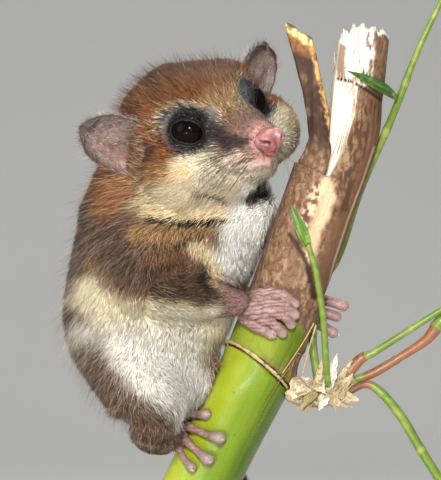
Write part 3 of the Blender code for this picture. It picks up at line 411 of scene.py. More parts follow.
def markings(p):
    """The colour of the coat at points of its surface, in millimetres."""
    wob = np.stack([mottled(p, 2.2, seed) for seed in (3, 4, 5)], 1)
    wob = wob + 0.5 * np.stack([mottled(p, 0.7, seed) for seed in (6, 7, 8)], 1)
    q = p + wob * 0.6
    xz = from_front(q)
    sharp = from_front(p + wob * 0.12)
    near_side = ramp(-p[:, 1], 0.0, 5.0)
    c = painted(
        light(150, 116, 84),
        ((104, 85, 73), near_marks(xz, 0.6, 4.4, (104, 150), (90, 185), (78, 215), (68, 250), (62, 300),
                                   (62, 335), (78, 365))),
        ((172, 112, 62), near_marks(xz, 1.4, 5.2, (112, 172), (106, 200), (112, 224))),
        ((136, 102, 74), near_marks(xz, 2.8, 7.4, (128, 236), (152, 258), (186, 274))),
        ((104, 80, 63), near_marks(xz, 1.0, 5.0, (104, 232), (112, 256), (136, 278), (172, 292), (206, 298),
                                   (240, 302))),
        ((244, 228, 194), near_marks(xz, 1.4, 5.2, (84, 296), (112, 318), (160, 325), (214, 326))),
        # Partly the belly's cream and partly painted light: a paler band right under the forearm that lifts
        # its shadow.
        ((250, 238, 212), near_marks(xz, 0.8, 2.6, (172, 318), (200, 320), (236, 318)) * 0.8),
        ((228, 221, 203), near_marks(xz, 2.6, 6.6, (86, 345), (125, 352), (185, 350))),
        ((238, 233, 222), near_marks(xz, 4.4, 8.6, (135, 366), (168, 384), (192, 408))),
        ((134, 108, 86), near_marks(xz, 2.8, 7.6, (84, 374), (100, 398), (124, 420), (150, 438))),
        ((172, 136, 94), near_marks(xz, 0.6, 3.0, (136, 231), (165, 234), (198, 232))),
        ((222, 200, 156), near_marks(xz, 1.6, 4.4, (148, 200), (185, 208), (215, 211))),
        ((230, 206, 162), near_marks(xz, 0.8, 3.0, (200, 251), (214, 262), (226, 284))),
        ((226, 208, 178), near_marks(xz, 2.4, 5.0, (172, 191), (204, 195), (242, 195))),
        ((240, 237, 228), near_marks(xz, 3.6, 6.8, (268, 205), (252, 232), (246, 256))),
        ((240, 237, 228), near_marks(xz, 3.6, 6.4, (262, 235), (240, 290), (212, 340), (205, 380))
            * (1 - near_side)),
        # Painted shade: a thin dark line in the fold of the fur below the jaw, on the near side.
        ((60, 50, 44), near_marks(sharp, 0.05, 0.5, (196, 197), (212, 199), (228, 206)) * 0.9 * near_side),
        # Painted shade: a short dark upright line in the crease between the arm and the chest, on the near
        # side.
        ((48, 44, 46), near_marks(xz, 0.1, 1.5, (205, 269), (205, 285)) * near_side))

    f, l, u = in_head(q)
    a = np.abs(l)
    face = np.stack([f, a, u], 1)
    reach = lid_reach(p + 0.30 * wob)
    over = ramp(u, -1.0, 2.5)
    stripe = way_off(face, np.array(((13.2, 7.0, 0.4), (15.6, 5.4, 0.4), (18.2, 4.7, -0.4),
                                     (21.8, 3.3, 0.0), (23.6, 2.6, 0.4))))
    narrow = 1.0 - 0.62 * ramp(f, 17.0, 23.0)
    h = painted(
        light(150, 93, 47),
        ((116, 78, 48), ramp(u, 4.5, 7.5) * fade(f, -2.0, 6.0) * 0.7),
        ((188, 152, 106), ramp(f, 9.0, 13.0) * ramp(u, 1.5, 4.0) * fade(a, 3.5, 6.5)),
        ((194, 140, 86), ramp(-u, 2.6, 5.4) * ramp(f, -4.0, 2.0)),
        ((168, 98, 46), near_spot(face, (6.4, 11.8, 1.0), 2.4, 6.0) * 0.85),
        # Partly the coat's dark rufous and partly painted shadow of the ear: a dark brown spot behind the
        # eye.
        ((92, 54, 32), near_spot(face, (6.2, 12.9, -1.9), 1.0, 3.2) * 0.85),
        ((241, 227, 196), ramp(f - 0.45 * (a - 9.8), 9.2, 12.2) * ramp(-u, 0.4, 2.6)),
        ((226, 192, 138), near_spot(face, (12.5, 12.6, -6.0), 2.2, 5.0) * 0.7),
        ((116, 78, 52), ear_hollow(q) * 0.85),
        ((206, 190, 160), fade(reach, 1.85, 2.35) * over * 0.8),
        ((136, 132, 130), fade(reach, 1.62, 1.98) * over * 0.8),
        ((170, 164, 156), near_spot(face, (13.9, 4.1, 3.2), 0.8, 2.0) * 0.8),
        ((44, 42, 48), fade(reach - 0.16 * over, 1.30, 1.70)),
        ((142, 108, 90), ramp(f, 14.5, 18.5) * ramp(u, -3.6, -1.0)),
        ((184, 140, 130), ramp(f, 20.5, 23.0) * ramp(u, -5.0, -3.4) * 0.85),
        ((60, 44, 44), fade(stripe, 0.9 * narrow, 2.9 * narrow) * 0.95),
        ((196, 150, 142), ramp(f, 17.0, 19.5) * ramp(-u, 2.2, 3.4) * 0.75),
        ((228, 212, 190), ramp(f, 13.5, 16.5) * ramp(-u, 4.2, 6.2) * 0.9))
    on_head = ramp(u, -13.5, -10.5) * ramp(q[:, 2], 112.0, 115.0)
    c = painted(
        c + (h - c) * on_head[:, None],
        ((148, 146, 144), near_marks(sharp, 0.4, 1.7, (243, 90), (247, 93), (250, 97))
            * 0.7 * ramp(l, 1.0, 3.0)),
        # Painted shade: the dark patch under the chin, on the near side.
        ((28, 26, 28), near_marks(xz, 0.5, 1.8, (251, 199), (262, 195), (271, 189))
            * ramp(-p[:, 1], 2.0, 6.0)),
        # Painted shade: thin near-black lines in the folds of the neck, on the near side.
        ((10, 9, 10), near_marks(sharp, 0.30, 0.62, (146, 217), (163, 222), (185, 225), (205, 224),
                                 (224, 221)) * near_side),
        ((24, 20, 20), near_marks(sharp, 0.12, 0.5, (176, 246), (190, 242), (204, 240)) * near_side))
    for lines, tone, start, end in (((ARM_RIGHT, ARM_LEFT), (166, 128, 122), 0.70, 0.86),
                                    ((LEG_RIGHT, LEG_LEFT), (160, 132, 120), 0.86, 1.0)):
        for line in lines:
            way, off, down = along_limb(p, line)
            c = mixed(c, tone, ramp(down, start, end) * fade(off, 1.2, 1.5))
    c = painted(c, ((130, 110, 94), fade(p[:, 2], 66.0, 69.5) * 0.8),
                ((18, 15, 15), fade(lid_reach(p), 1.06, 1.24)))
    return c * (1.0 + 0.08 * mottled(p, 1.1, 9))[:, None]


def lie(p, out):
    """The way the hair lies at points with the given outward directions."""
    f, l, u = in_head(p)
    down = np.zeros_like(p)
    down[:] = (-0.30, 0.0, -0.95)
    chest = ramp(p[:, 0], 2.0, 8.0)[:, None]
    down = down + (np.array((-0.12, 0.0, -1.0)) - down) * chest
    nape = (ramp(p[:, 2], 103.0, 109.0))[:, None]
    down = down + (np.array((-0.92, 0.0, -0.42)) - down) * nape
    for line in (ARM_RIGHT, ARM_LEFT, LEG_RIGHT, LEG_LEFT):
        way, off, far = along_limb(p, line)
        down = down + (way - down) * (fade(off, 1.1, 1.35) * ramp(far, 0.05, 0.4))[:, None]
    nose = head_place(25.0, 0, -0.5)
    back = p - nose
    back /= np.linalg.norm(back, axis=1)[:, None]
    on_head = (ramp(u, -12.5, -10.0) * ramp(p[:, 2], 112.5, 115.5))[:, None]
    way = down + (back - down) * on_head
    way = way - out * np.sum(way * out, axis=1)[:, None]
    return way / np.maximum(np.linalg.norm(way, axis=1), 1e-6)[:, None]


def strewn(obj, count, seed, thick_where):
    """Roots strewn evenly over a surface: place, outward direction and place on its unwrap."""
    mesh = obj.data
    mesh.calc_loop_triangles()
    n = len(mesh.loop_triangles)
    corner = np.empty(n * 3, np.int32)
    mesh.loop_triangles.foreach_get("vertices", corner)
    loop = np.empty(n * 3, np.int32)
    mesh.loop_triangles.foreach_get("loops", loop)
    uv = np.empty(len(mesh.loops) * 2, np.float32)
    mesh.uv_layers["OFBake"].data.foreach_get("uv", uv)
    uv = uv.reshape(-1, 2)[loop].reshape(n, 3, 2)
    p = places(mesh)
    nrm = normals_of(mesh)[corner].reshape(n, 3, 3)
    tri = p[corner].reshape(n, 3, 3)
    area = np.linalg.norm(np.cross(tri[:, 1] - tri[:, 0], tri[:, 2] - tri[:, 0]), axis=1) / 2
    weight = area * thick_where(tri.mean(axis=1))
    draw = np.random.default_rng(seed)
    pick = draw.choice(n, size=count, p=weight / weight.sum())
    r1, r2 = np.sqrt(draw.random(count)), draw.random(count)
    w = np.stack([1 - r1, r1 * (1 - r2), r1 * r2], 1)[:, :, None]
    out = (nrm[pick] * w).sum(axis=1)
    out /= np.linalg.norm(out, axis=1)[:, None]
    return (tri[pick] * w).sum(axis=1), out, (uv[pick] * w).sum(axis=1)


PATCH = 0.0015


def tuft_mesh(name, root, out, way, length, width, lift, colour, patch, seed, dark=0.6, tip=1.18,
              settle=0.4, bent=True):
    """Joined three-sided tufts in metres, straight, or bent once towards the skin."""
    draw = np.random.default_rng(seed)
    n = len(root)
    side = unit(np.cross(way, out))
    way = unit(way + side * draw.normal(0, 0.16, n)[:, None])
    side = unit(np.cross(way, out))
    late = lift * settle
    if not bent:
        lift = lift * (0.45 + 0.55 * settle)
    first = way * np.cos(lift)[:, None] + out * np.sin(lift)[:, None]
    second = way * np.cos(late)[:, None] + out * np.sin(late)[:, None]
    second = second + side * draw.normal(0, 0.14, n)[:, None]
    base = root - out * 0.25
    mid = root + first * (length * 0.45)[:, None]
    rings = [(base, first, width), (mid, unit(first + second), width * 0.8)]
    end = mid + unit(second) * (length * 0.55)[:, None]
    one = []
    if bent:
        for j in range(3):
            i = (j + 1) % 3
            one += [(j, i, 3 + i), (j, 3 + i, 3 + j), (3 + j, 3 + i, 6)]
    else:
        rings = rings[:1]
        end = root + first * length[:, None]
        one = [(0, 1, 3), (1, 2, 3), (2, 0, 3)]
    one = np.array(one + [(0, 2, 1)])
    k = 3 * len(rings) + 1
    verts = np.empty((n, k, 3))
    tint = np.ones((n, k, 4), np.float32)
    dark = np.broadcast_to(dark, (n,))[:, None]
    tip = np.broadcast_to(tip, (n,))[:, None]
    for r, (at, d, w) in enumerate(rings):
        up = np.cross(d, side)
        for j in range(3):
            t = math.radians(90 + 120 * j)
            right, high = math.cos(t) * w, 0.6 * math.sin(t) * w
            verts[:, r * 3 + j] = at + side * right[:, None] + up * high[:, None]
            tint[:, r * 3 + j, :3] = colour * (1 if r else dark)
    verts[:, -1] = end
    tint[:, -1, :3] = np.clip(colour * tip, 0, 1)
    faces = (one[None] + k * np.arange(n)[:, None, None]).reshape(-1)
    mesh = bpy.data.meshes.new(name)
    mesh.vertices.add(n * k)
    mesh.vertices.foreach_set("co", (verts * 0.001).astype(np.float32).ravel())
    count = n * len(one)
    mesh.loops.add(count * 3)
    mesh.loops.foreach_set("vertex_index", faces.astype(np.int32))
    mesh.polygons.add(count)
    mesh.polygons.foreach_set("loop_start", np.arange(0, count * 3, 3, dtype=np.int32))
    mesh.polygons.foreach_set("use_smooth", np.ones(count, bool))
    uv = mesh.uv_layers.new(name="OFBake")
    spread = [(0, -1), (-1, -1), (1, -1), (0, 0.2), (-1, 0.2), (1, 0.2)][:k - 1] + [(0, 1)]
    map_at = (patch[:, None, :] + np.array(spread)[None] * PATCH).reshape(-1, 2)
    uv.data.foreach_set("uv", map_at[faces].astype(np.float32).ravel())
    layer = mesh.color_attributes.new("coat", "FLOAT_COLOR", "POINT")
    layer.data.foreach_set("color", tint.ravel())
    mesh.update()
    mesh.validate()
    obj = bpy.data.objects.new(name, mesh)
    bpy.context.scene.collection.objects.link(obj)
    return obj


def shader(name, rough, specular=0.5, soft=None, more=None):
    """A material. `soft` says how much light goes in, how far for each colour, and its scale."""
    mat = bpy.data.materials.new(name)
    mat.use_nodes = True
    given = {"Roughness": rough, "Specular IOR Level": specular}
    if soft:
        given.update(zip(("Subsurface Weight", "Subsurface Radius", "Subsurface Scale"), soft))
    given.update(more or {})
    for key, value in given.items():
        mat.node_tree.nodes["Principled BSDF"].inputs[key].default_value = value
    return mat


def stain(mat):
    """The colour that the piece carries at each of its points."""
    tone = mat.node_tree.nodes.new("ShaderNodeAttribute")
    tone.attribute_name = "coat"
    return tone.outputs["Color"]


def coloured(mat, tone):
    mat.node_tree.links.new(tone, mat.node_tree.nodes["Principled BSDF"].inputs["Base Color"])


def grain_at(mat, squash, along):
    """Places for a grain: the piece's own, or those that run with its fibres."""
    nodes = mat.node_tree.nodes
    fit = nodes.new("ShaderNodeMapping")
    fit.inputs["Scale"].default_value = squash
    if along:
        where = nodes.new("ShaderNodeAttribute")
        where.attribute_name = "grain"
        mat.node_tree.links.new(where.outputs["Vector"], fit.inputs["Vector"])
    else:
        where = nodes.new("ShaderNodeTexCoord")
        mat.node_tree.links.new(where.outputs["Object"], fit.inputs["Vector"])
    return fit.outputs["Vector"]


def noise(mat, scale, detail, rough, squash=(1, 1, 1), bend=0.0, along=False):
    grain = mat.node_tree.nodes.new("ShaderNodeTexNoise")
    grain.inputs["Scale"].default_value = scale
    grain.inputs["Detail"].default_value = detail
    grain.inputs["Roughness"].default_value = rough
    grain.inputs["Distortion"].default_value = bend
    mat.node_tree.links.new(grain_at(mat, squash, along), grain.inputs["Vector"])
    return grain.outputs["Fac"]


def bumped(mat, height, distance, strength):
    bump = mat.node_tree.nodes.new("ShaderNodeBump")
    bump.inputs["Strength"].default_value = strength
    bump.inputs["Distance"].default_value = distance
    mat.node_tree.links.new(height, bump.inputs["Height"])
    mat.node_tree.links.new(bump.outputs["Normal"], mat.node_tree.nodes["Principled BSDF"].inputs["Normal"])


def finish(obj, mat, slot, *nodes):
    """Give a piece its material and its place in the whole."""
    obj.data.materials.clear()
    obj.data.materials.append(mat)
    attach(obj, "root")
    if nodes:
        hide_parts(*nodes)


def stained(obj, spot, colour, scale=True):
    """Set a piece's points, in millimetres, and the colour at each."""
    tint = np.ones((len(spot), 4), np.float32)
    tint[:, :3] = np.clip(colour, 0, 1)
    layer = obj.data.color_attributes.new("coat", "FLOAT_COLOR", "POINT")
    layer.data.foreach_set("color", tint.ravel())
    put_places(obj.data, spot * (0.001 if scale else 1.0))
    obj.data.shade_smooth()


fur = shader("fur", 0.54, 0.22, more={"Sheen Weight": 0.02, "Sheen Roughness": 0.4})
coloured(fur, stain(fur))
skin_mat = shader("skin", 0.55, 0.35, soft=(0.15, (0.6, 0.25, 0.15), 0.0012))
coloured(skin_mat, stain(skin_mat))
bumped(skin_mat, noise(skin_mat, 3000.0, 4.0, 0.6), distance=0.00012, strength=0.6)


def unwrapped(obj):
    """Lay the piece's own shape out flat as the map that its hairs share."""
    bpy.ops.object.select_all(action="DESELECT")
    bpy.context.view_layer.objects.active = obj
    obj.select_set(True)
    bpy.ops.object.mode_set(mode="EDIT")
    bpy.ops.mesh.select_all(action="SELECT")
    bpy.ops.uv.smart_project(angle_limit=math.radians(66), island_margin=0.002)
    bpy.ops.object.mode_set(mode="OBJECT")
    obj.data.uv_layers[0].name = "OFBake"


unwrapped(skin)


def head_share(p):
    """How much of the coat at points is the head's, with the muzzle nearly bare."""
    f, l, u = in_head(p)
    bare = 1 - 0.50 * ramp(f, 20.0, 23.0) * ramp(u, -5.5, -3.5)
    bare = bare * ramp(lid_reach(p), 0.96, 1.06)
    return (ramp(p[:, 2], 110.0, 114.0) * ramp(u, -14.0, -11.0) + 1e-5) * bare


def body_share(p):
    f, l, u = in_head(p)
    return 1.0 - ramp(p[:, 2], 110.0, 114.0) * ramp(u, -14.0, -11.0) + 1e-5


def coat_over(name, count, seed, share, bent):
    """One joined piece of the coat, strewn over the head or the body."""
    p, out, patch = strewn(skin, count, seed, share)
    draw = np.random.default_rng(seed + 1)
    depth = coat_depth(p)
    way = lie(p, out)
    f, l, u = in_head(p)
    fine = ramp(f, 12.5, 16.5) * ramp(p[:, 2], 112.0, 115.0)
    length = 0.75 + 0.15 * fine + 1.30 * depth * draw.uniform(0.7, 1.25, count)
    jog = draw.normal(0, 0.22, (count, 3))
    colour = markings(p + out * depth[:, None] + way * (0.5 * length)[:, None] + jog)
    width = np.clip(0.030 + 0.026 * length, 0.035, 0.10) * draw.uniform(0.65, 1.2, count)
    width = width * (1.18 if bent else 1.03)
    lift = np.radians(draw.normal(42, 8, count)) * (0.35 + 0.65 * ramp(depth, 0.2, 1.0))
    lift = np.clip(lift, 0.10, 1.2)
    pale = ramp(colour.sum(axis=1), 0.9, 1.9)
    ringed = fade(lid_reach(p), 1.6, 2.1)
    colour = colour * draw.lognormal(0.0, 0.16 - 0.08 * pale + 0.22 * fine + 0.34 * ringed, count)[:, None]
    crown = ramp(u, -4.0, 0.0) * ramp(p[:, 2], 118.0, 122.0) * fade(f, 11.0, 15.0)
    grey = draw.random(count) < 0.22 * fade(lid_reach(p), 1.45, 1.75)
    colour = np.where(grey[:, None], light(140, 142, 146) * draw.uniform(0.4, 1.1, count)[:, None], colour)
    bold = draw.random(count) < 0.13 - 0.11 * pale + 0.05 * crown
    colour = np.where(bold[:, None], colour * 0.34, colour)
    width = np.where(bold, width * 1.45, width)
    ticked = draw.random(count) < 0.20 + 0.20 * crown - 0.16 * pale
    tip = np.where(ticked, draw.uniform(0.15, 0.5, count), draw.uniform(1.0, 1.35, count))
    return tuft_mesh(name, p, out, way, length, width, lift, np.clip(colour, 0, 1), patch, seed + 2,
                     dark=0.50 + 0.32 * pale, tip=tip, bent=bent)


def guard_share(p):
    f, l, u = in_head(p)
    back = ramp(-p[:, 0], 2.0, 14.0) * ramp(p[:, 2], 66.0, 72.0)
    crown = ramp(p[:, 2], 118.0, 130.0) * fade(f, 4.0, 9.0)
    return back + 1.1 * crown + 0.06


def guard_over(name, count, seed):
    """Long fine hairs that stand out past the coat along the back, crown and rump."""
    p, out, patch = strewn(skin, count, seed, guard_share)
    draw = np.random.default_rng(seed + 1)
    depth = coat_depth(p)
    keep = depth > 0.9
    p, out, patch, depth = p[keep], out[keep], patch[keep], depth[keep]
    n = len(p)
    colour = markings(p + out * depth[:, None])
    above = ramp(p[:, 2], 118.0, 126.0)
    pale = (draw.random(n) < 0.62 - 0.5 * above)[:, None]
    colour = np.where(pale, colour * 0.4 + light(206, 198, 186) * 0.6, colour * 0.30)
    lift = np.radians(draw.normal(52, 14, n)).clip(0.3, 1.35)
    length = 2.2 + 1.9 * depth * draw.uniform(0.7, 1.35, n)
    return tuft_mesh(name, p, out, lie(p, out), length, draw.uniform(0.014, 0.030, n), lift, colour, patch,
                     seed + 2, dark=0.7, tip=1.25, settle=0.75)


def brow_share(p):
    f, l, u = in_head(p)
    strip = ramp(f, 1.8, 2.8) * fade(f, 4.6, 6.4) * ramp(np.abs(l), 8.6, 9.6)
    return strip * fade(np.abs(u + 3.2), 4.0, 5.8) * ramp(p[:, 2], 112.0, 115.0) + 1e-9


def brow_over(name, count, seed):
    """Loose hairs in front of the ears that lie back over their front edges."""
    p, out, patch = strewn(skin, count, seed, brow_share)
    draw = np.random.default_rng(seed + 1)
    way = unit(HEAD_U * 0.22 - HEAD_F + draw.normal(0, 0.22, (count, 3)))
    way = unit(way - out * np.sum(way * out, axis=1)[:, None])
    pale = (draw.random(count) < 0.35)[:, None]
    colour = np.where(pale, light(196, 168, 138), light(128, 92, 64)) * draw.uniform(0.5, 1.3, count)[:, None]
    length, width = draw.uniform(2.0, 3.6, count), draw.uniform(0.036, 0.066, count)
    lift = np.radians(draw.normal(46, 9, count)).clip(0.3, 1.1)
    return tuft_mesh(name, p, out, way, length, width, lift, colour, patch, seed + 2,
                     dark=0.6, tip=1.2, settle=0.45)


amount = 1.0
coats = []
for part, seed, share, counts in (("head", 100, head_share, (17000, 42000, 42000)),
                                  ("body", 200, body_share, (17500, 17500, 40500, 40500, 40500))):
    for k, count in enumerate(counts):
        coats.append(coat_over("coat_%s_%d" % (part, k + 1), int(count * amount), seed + 10 * k, share,
                               bent=count < 20000))
coats.append(guard_over("coat_guard", int(7000 * amount), 300))
coats.append(brow_over("coat_before_ears", int(1400 * amount), 340))
for coat in coats:
    finish(coat, fur, "fur_coat")
spot = places(skin.data)
colour = markings(spot + skin_out * coat_depth(spot)[:, None])
f, l, u = in_head(spot)
bare_nose = ramp(f, 21.6, 23.6) * ramp(u, -6.0, -3.5)
tint = colour * 0.72
tint = tint + (colour * 0.3 + light(194, 142, 134) * 0.7 - tint) * bare_nose[:, None]
# Painted shade: dark red-brown along the mouth line, in the crease between the lips.
groove = np.exp(-(way_off(spot, mouth) / 0.45) ** 2) * ramp(f, 13.2, 15.5)
stained(skin, spot, mixed(tint, (70, 36, 38), groove * 0.85))
finish(skin, skin_mat, "fur_coat", *FLESH)
muzzle_tree = BVHTree.FromPolygons([Vector(v) for v in spot], [tuple(q.vertices) for q in skin.data.polygons])

# Eyes: glossy black balls, almost all pupil, as in an animal of the night. Each sits deep in
# its lids and is one near-black colour all over.
eye_mat = shader("eye", 0.03, 0.05, more={"Base Color": (0.0035, 0.0026, 0.0022, 1)})
for s, name in ((-1, "right"), (1, "left")):
    bpy.ops.object.select_all(action="DESELECT")
    bpy.ops.mesh.primitive_uv_sphere_add(segments=64, ring_count=48, radius=EYE_R * 0.001)
    eye = bpy.context.object
    eye.name = "eyeball_" + name
    look = Vector(eye_look(s))
    eye.data.transform(look.to_track_quat("Z", "Y").to_matrix().to_4x4())
    ball_at = places(eye.data)
    ahead = (ball_at @ np.array(look)) / (EYE_R * 0.001)
    bulge = 1.0 + 0.045 * ramp(ahead, 0.55, 1.0)
    ball_at = ball_at * bulge[:, None] + head_place(*eye_at(s)) * 0.001
    eye.data.vertices.foreach_set("co", ball_at.astype(np.float32).ravel())
    eye.data.update()
    eye.data.shade_smooth()
    finish(eye, eye_mat, "eye_cornea", "eye_" + name)

# Nose: a moist hairless pad of pink skin, finely cobbled, with two comma nostrils that open
# to the sides and a groove that runs down to the lip.


def blob(name, balls, voxel, rounds, axes=None):
    """Balls and ellipsoids run together into one closed body, in millimetres."""
    turn = Matrix([tuple(a) for a in axes]).transposed() if axes else Matrix.Identity(3)
    bm = bmesh.new()
    for at, radii in balls:
        m = (turn @ Matrix.Diagonal(Vector(radii))).to_4x4()
        m.translation = Vector(at)
        bmesh.ops.create_icosphere(bm, subdivisions=3, radius=1.0, matrix=m)
    return wrapped(bare_object(name, bm), voxel, rounds)


def cells(mat, scale):
    grain = mat.node_tree.nodes.new("ShaderNodeTexVoronoi")
    grain.inputs["Scale"].default_value = scale
    mat.node_tree.links.new(grain_at(mat, (1, 1, 1), False), grain.inputs["Vector"])
    return grain.outputs["Distance"]


nose_balls = [(head_place(24.8, 0, -0.2), (1.9, 2.2, 2.05)), (head_place(24.4, 0, -1.9), (1.3, 1.4, 1.2)),
              (head_place(22.4, 0, -0.8), (2.1, 2.3, 2.0))]
for s in (-1, 1):
    nose_balls.append((head_place(25.3, s * 1.10, 0.35), (1.45, 1.35, 1.55)))
    nose_balls.append((head_place(24.3, s * 1.75, 0.15), (1.0, 1.0, 1.25)))
pad = blob("nose_pad", nose_balls, voxel=0.13, rounds=5, axes=(HEAD_F, HEAD_L, HEAD_U))
spot = places(pad.data)
out = normals_of(pad.data)
f, l, u = in_head(spot)
a = np.abs(l)
line = np.array(((1.20, 0.15), (1.40, 0.50), (1.80, 0.75), (2.25, 0.70)))
hole = way_off(np.stack([a, u], 1), line)
press = 0.62 * np.exp(-(hole / 0.20) ** 2) * ramp(f, 24.4, 25.2)
lip = 0.12 * np.exp(-((hole - 0.52) / 0.22) ** 2) * ramp(f, 24.4, 25.2)
cleft = 0.30 * np.exp(-(l / 0.20) ** 2) * ramp(f, 24.4, 25.6) * fade(u, -0.2, 0.9)
cobble = 0.018 * mottled(spot, 0.16, 31)
spot = spot + out * (lip - press - cleft + cobble)[:, None]
moist = painted(
    light(150, 98, 100),
    ((178, 122, 118), ramp(u, 0.4, 2.0) * 0.8),
    ((188, 140, 134), fade(f, 22.8, 24.4)),
    ((166, 66, 70), ramp(-u, 0.6, 2.2) * ramp(f, 23.6, 24.6) * 0.8),
    # Painted shade: dark red inside the nostrils and down the groove.
    ((52, 16, 20), np.clip(press * 1.9, 0, 1)),
    ((128, 48, 54), np.clip(cleft * 2.6, 0, 1)))
moist = moist * (1 + 0.07 * mottled(spot, 0.5, 33))[:, None]
stained(pad, spot, moist)
nose_mat = shader("nose", 0.30, 0.5, soft=(0.25, (1.0, 0.35, 0.25), 0.0008),
                  more={"Coat Weight": 0.22, "Coat Roughness": 0.22})
coloured(nose_mat, stain(nose_mat))
bumped(nose_mat, cells(nose_mat, 5200.0), distance=0.00004, strength=0.6)
finish(pad, nose_mat, "nose_skin", "nose")

# Ears: thin round cups of grey-brown skin with a rolled rim, a fold inside the front edge and
# a paler notch at the root. Fine shiny hairs lie over both faces, and brown ones hide the root.


def step(mat, value, low, high, first=0.0, last=1.0):
    """A value spread from one range to another with soft ends."""
    node = mat.node_tree.nodes.new("ShaderNodeMapRange")
    node.interpolation_type = "SMOOTHSTEP"
    for name, number in (("From Min", low), ("From Max", high), ("To Min", first), ("To Max", last)):
        node.inputs[name].default_value = number
    mat.node_tree.links.new(value, node.inputs["Value"])
    return node.outputs["Result"]


def blend(mat, amount, first, second, share):
    """The first colour, turned to the second where the amount is high."""
    node = mat.node_tree.nodes.new("ShaderNodeMix")
    node.data_type = "RGBA"
    part = mat.node_tree.nodes.new("ShaderNodeMath")
    part.operation = "MULTIPLY"
    part.inputs[1].default_value = share
    mat.node_tree.links.new(amount, part.inputs[0])
    mat.node_tree.links.new(part.outputs[0], node.inputs[0])
    for socket, colour in ((node.inputs[6], first), (node.inputs[7], second)):
        if isinstance(colour, tuple):
            socket.default_value = colour
        else:
            mat.node_tree.links.new(colour, socket)
    return node.outputs[2]


def mesh_piece(name, verts, faces):
    mesh = bpy.data.meshes.new(name)
    mesh.from_pydata([tuple(v) for v in verts], [], [tuple(int(i) for i in q) for q in faces])
    mesh.update()
    obj = bpy.data.objects.new(name, mesh)
    bpy.context.scene.collection.objects.link(obj)
    return obj


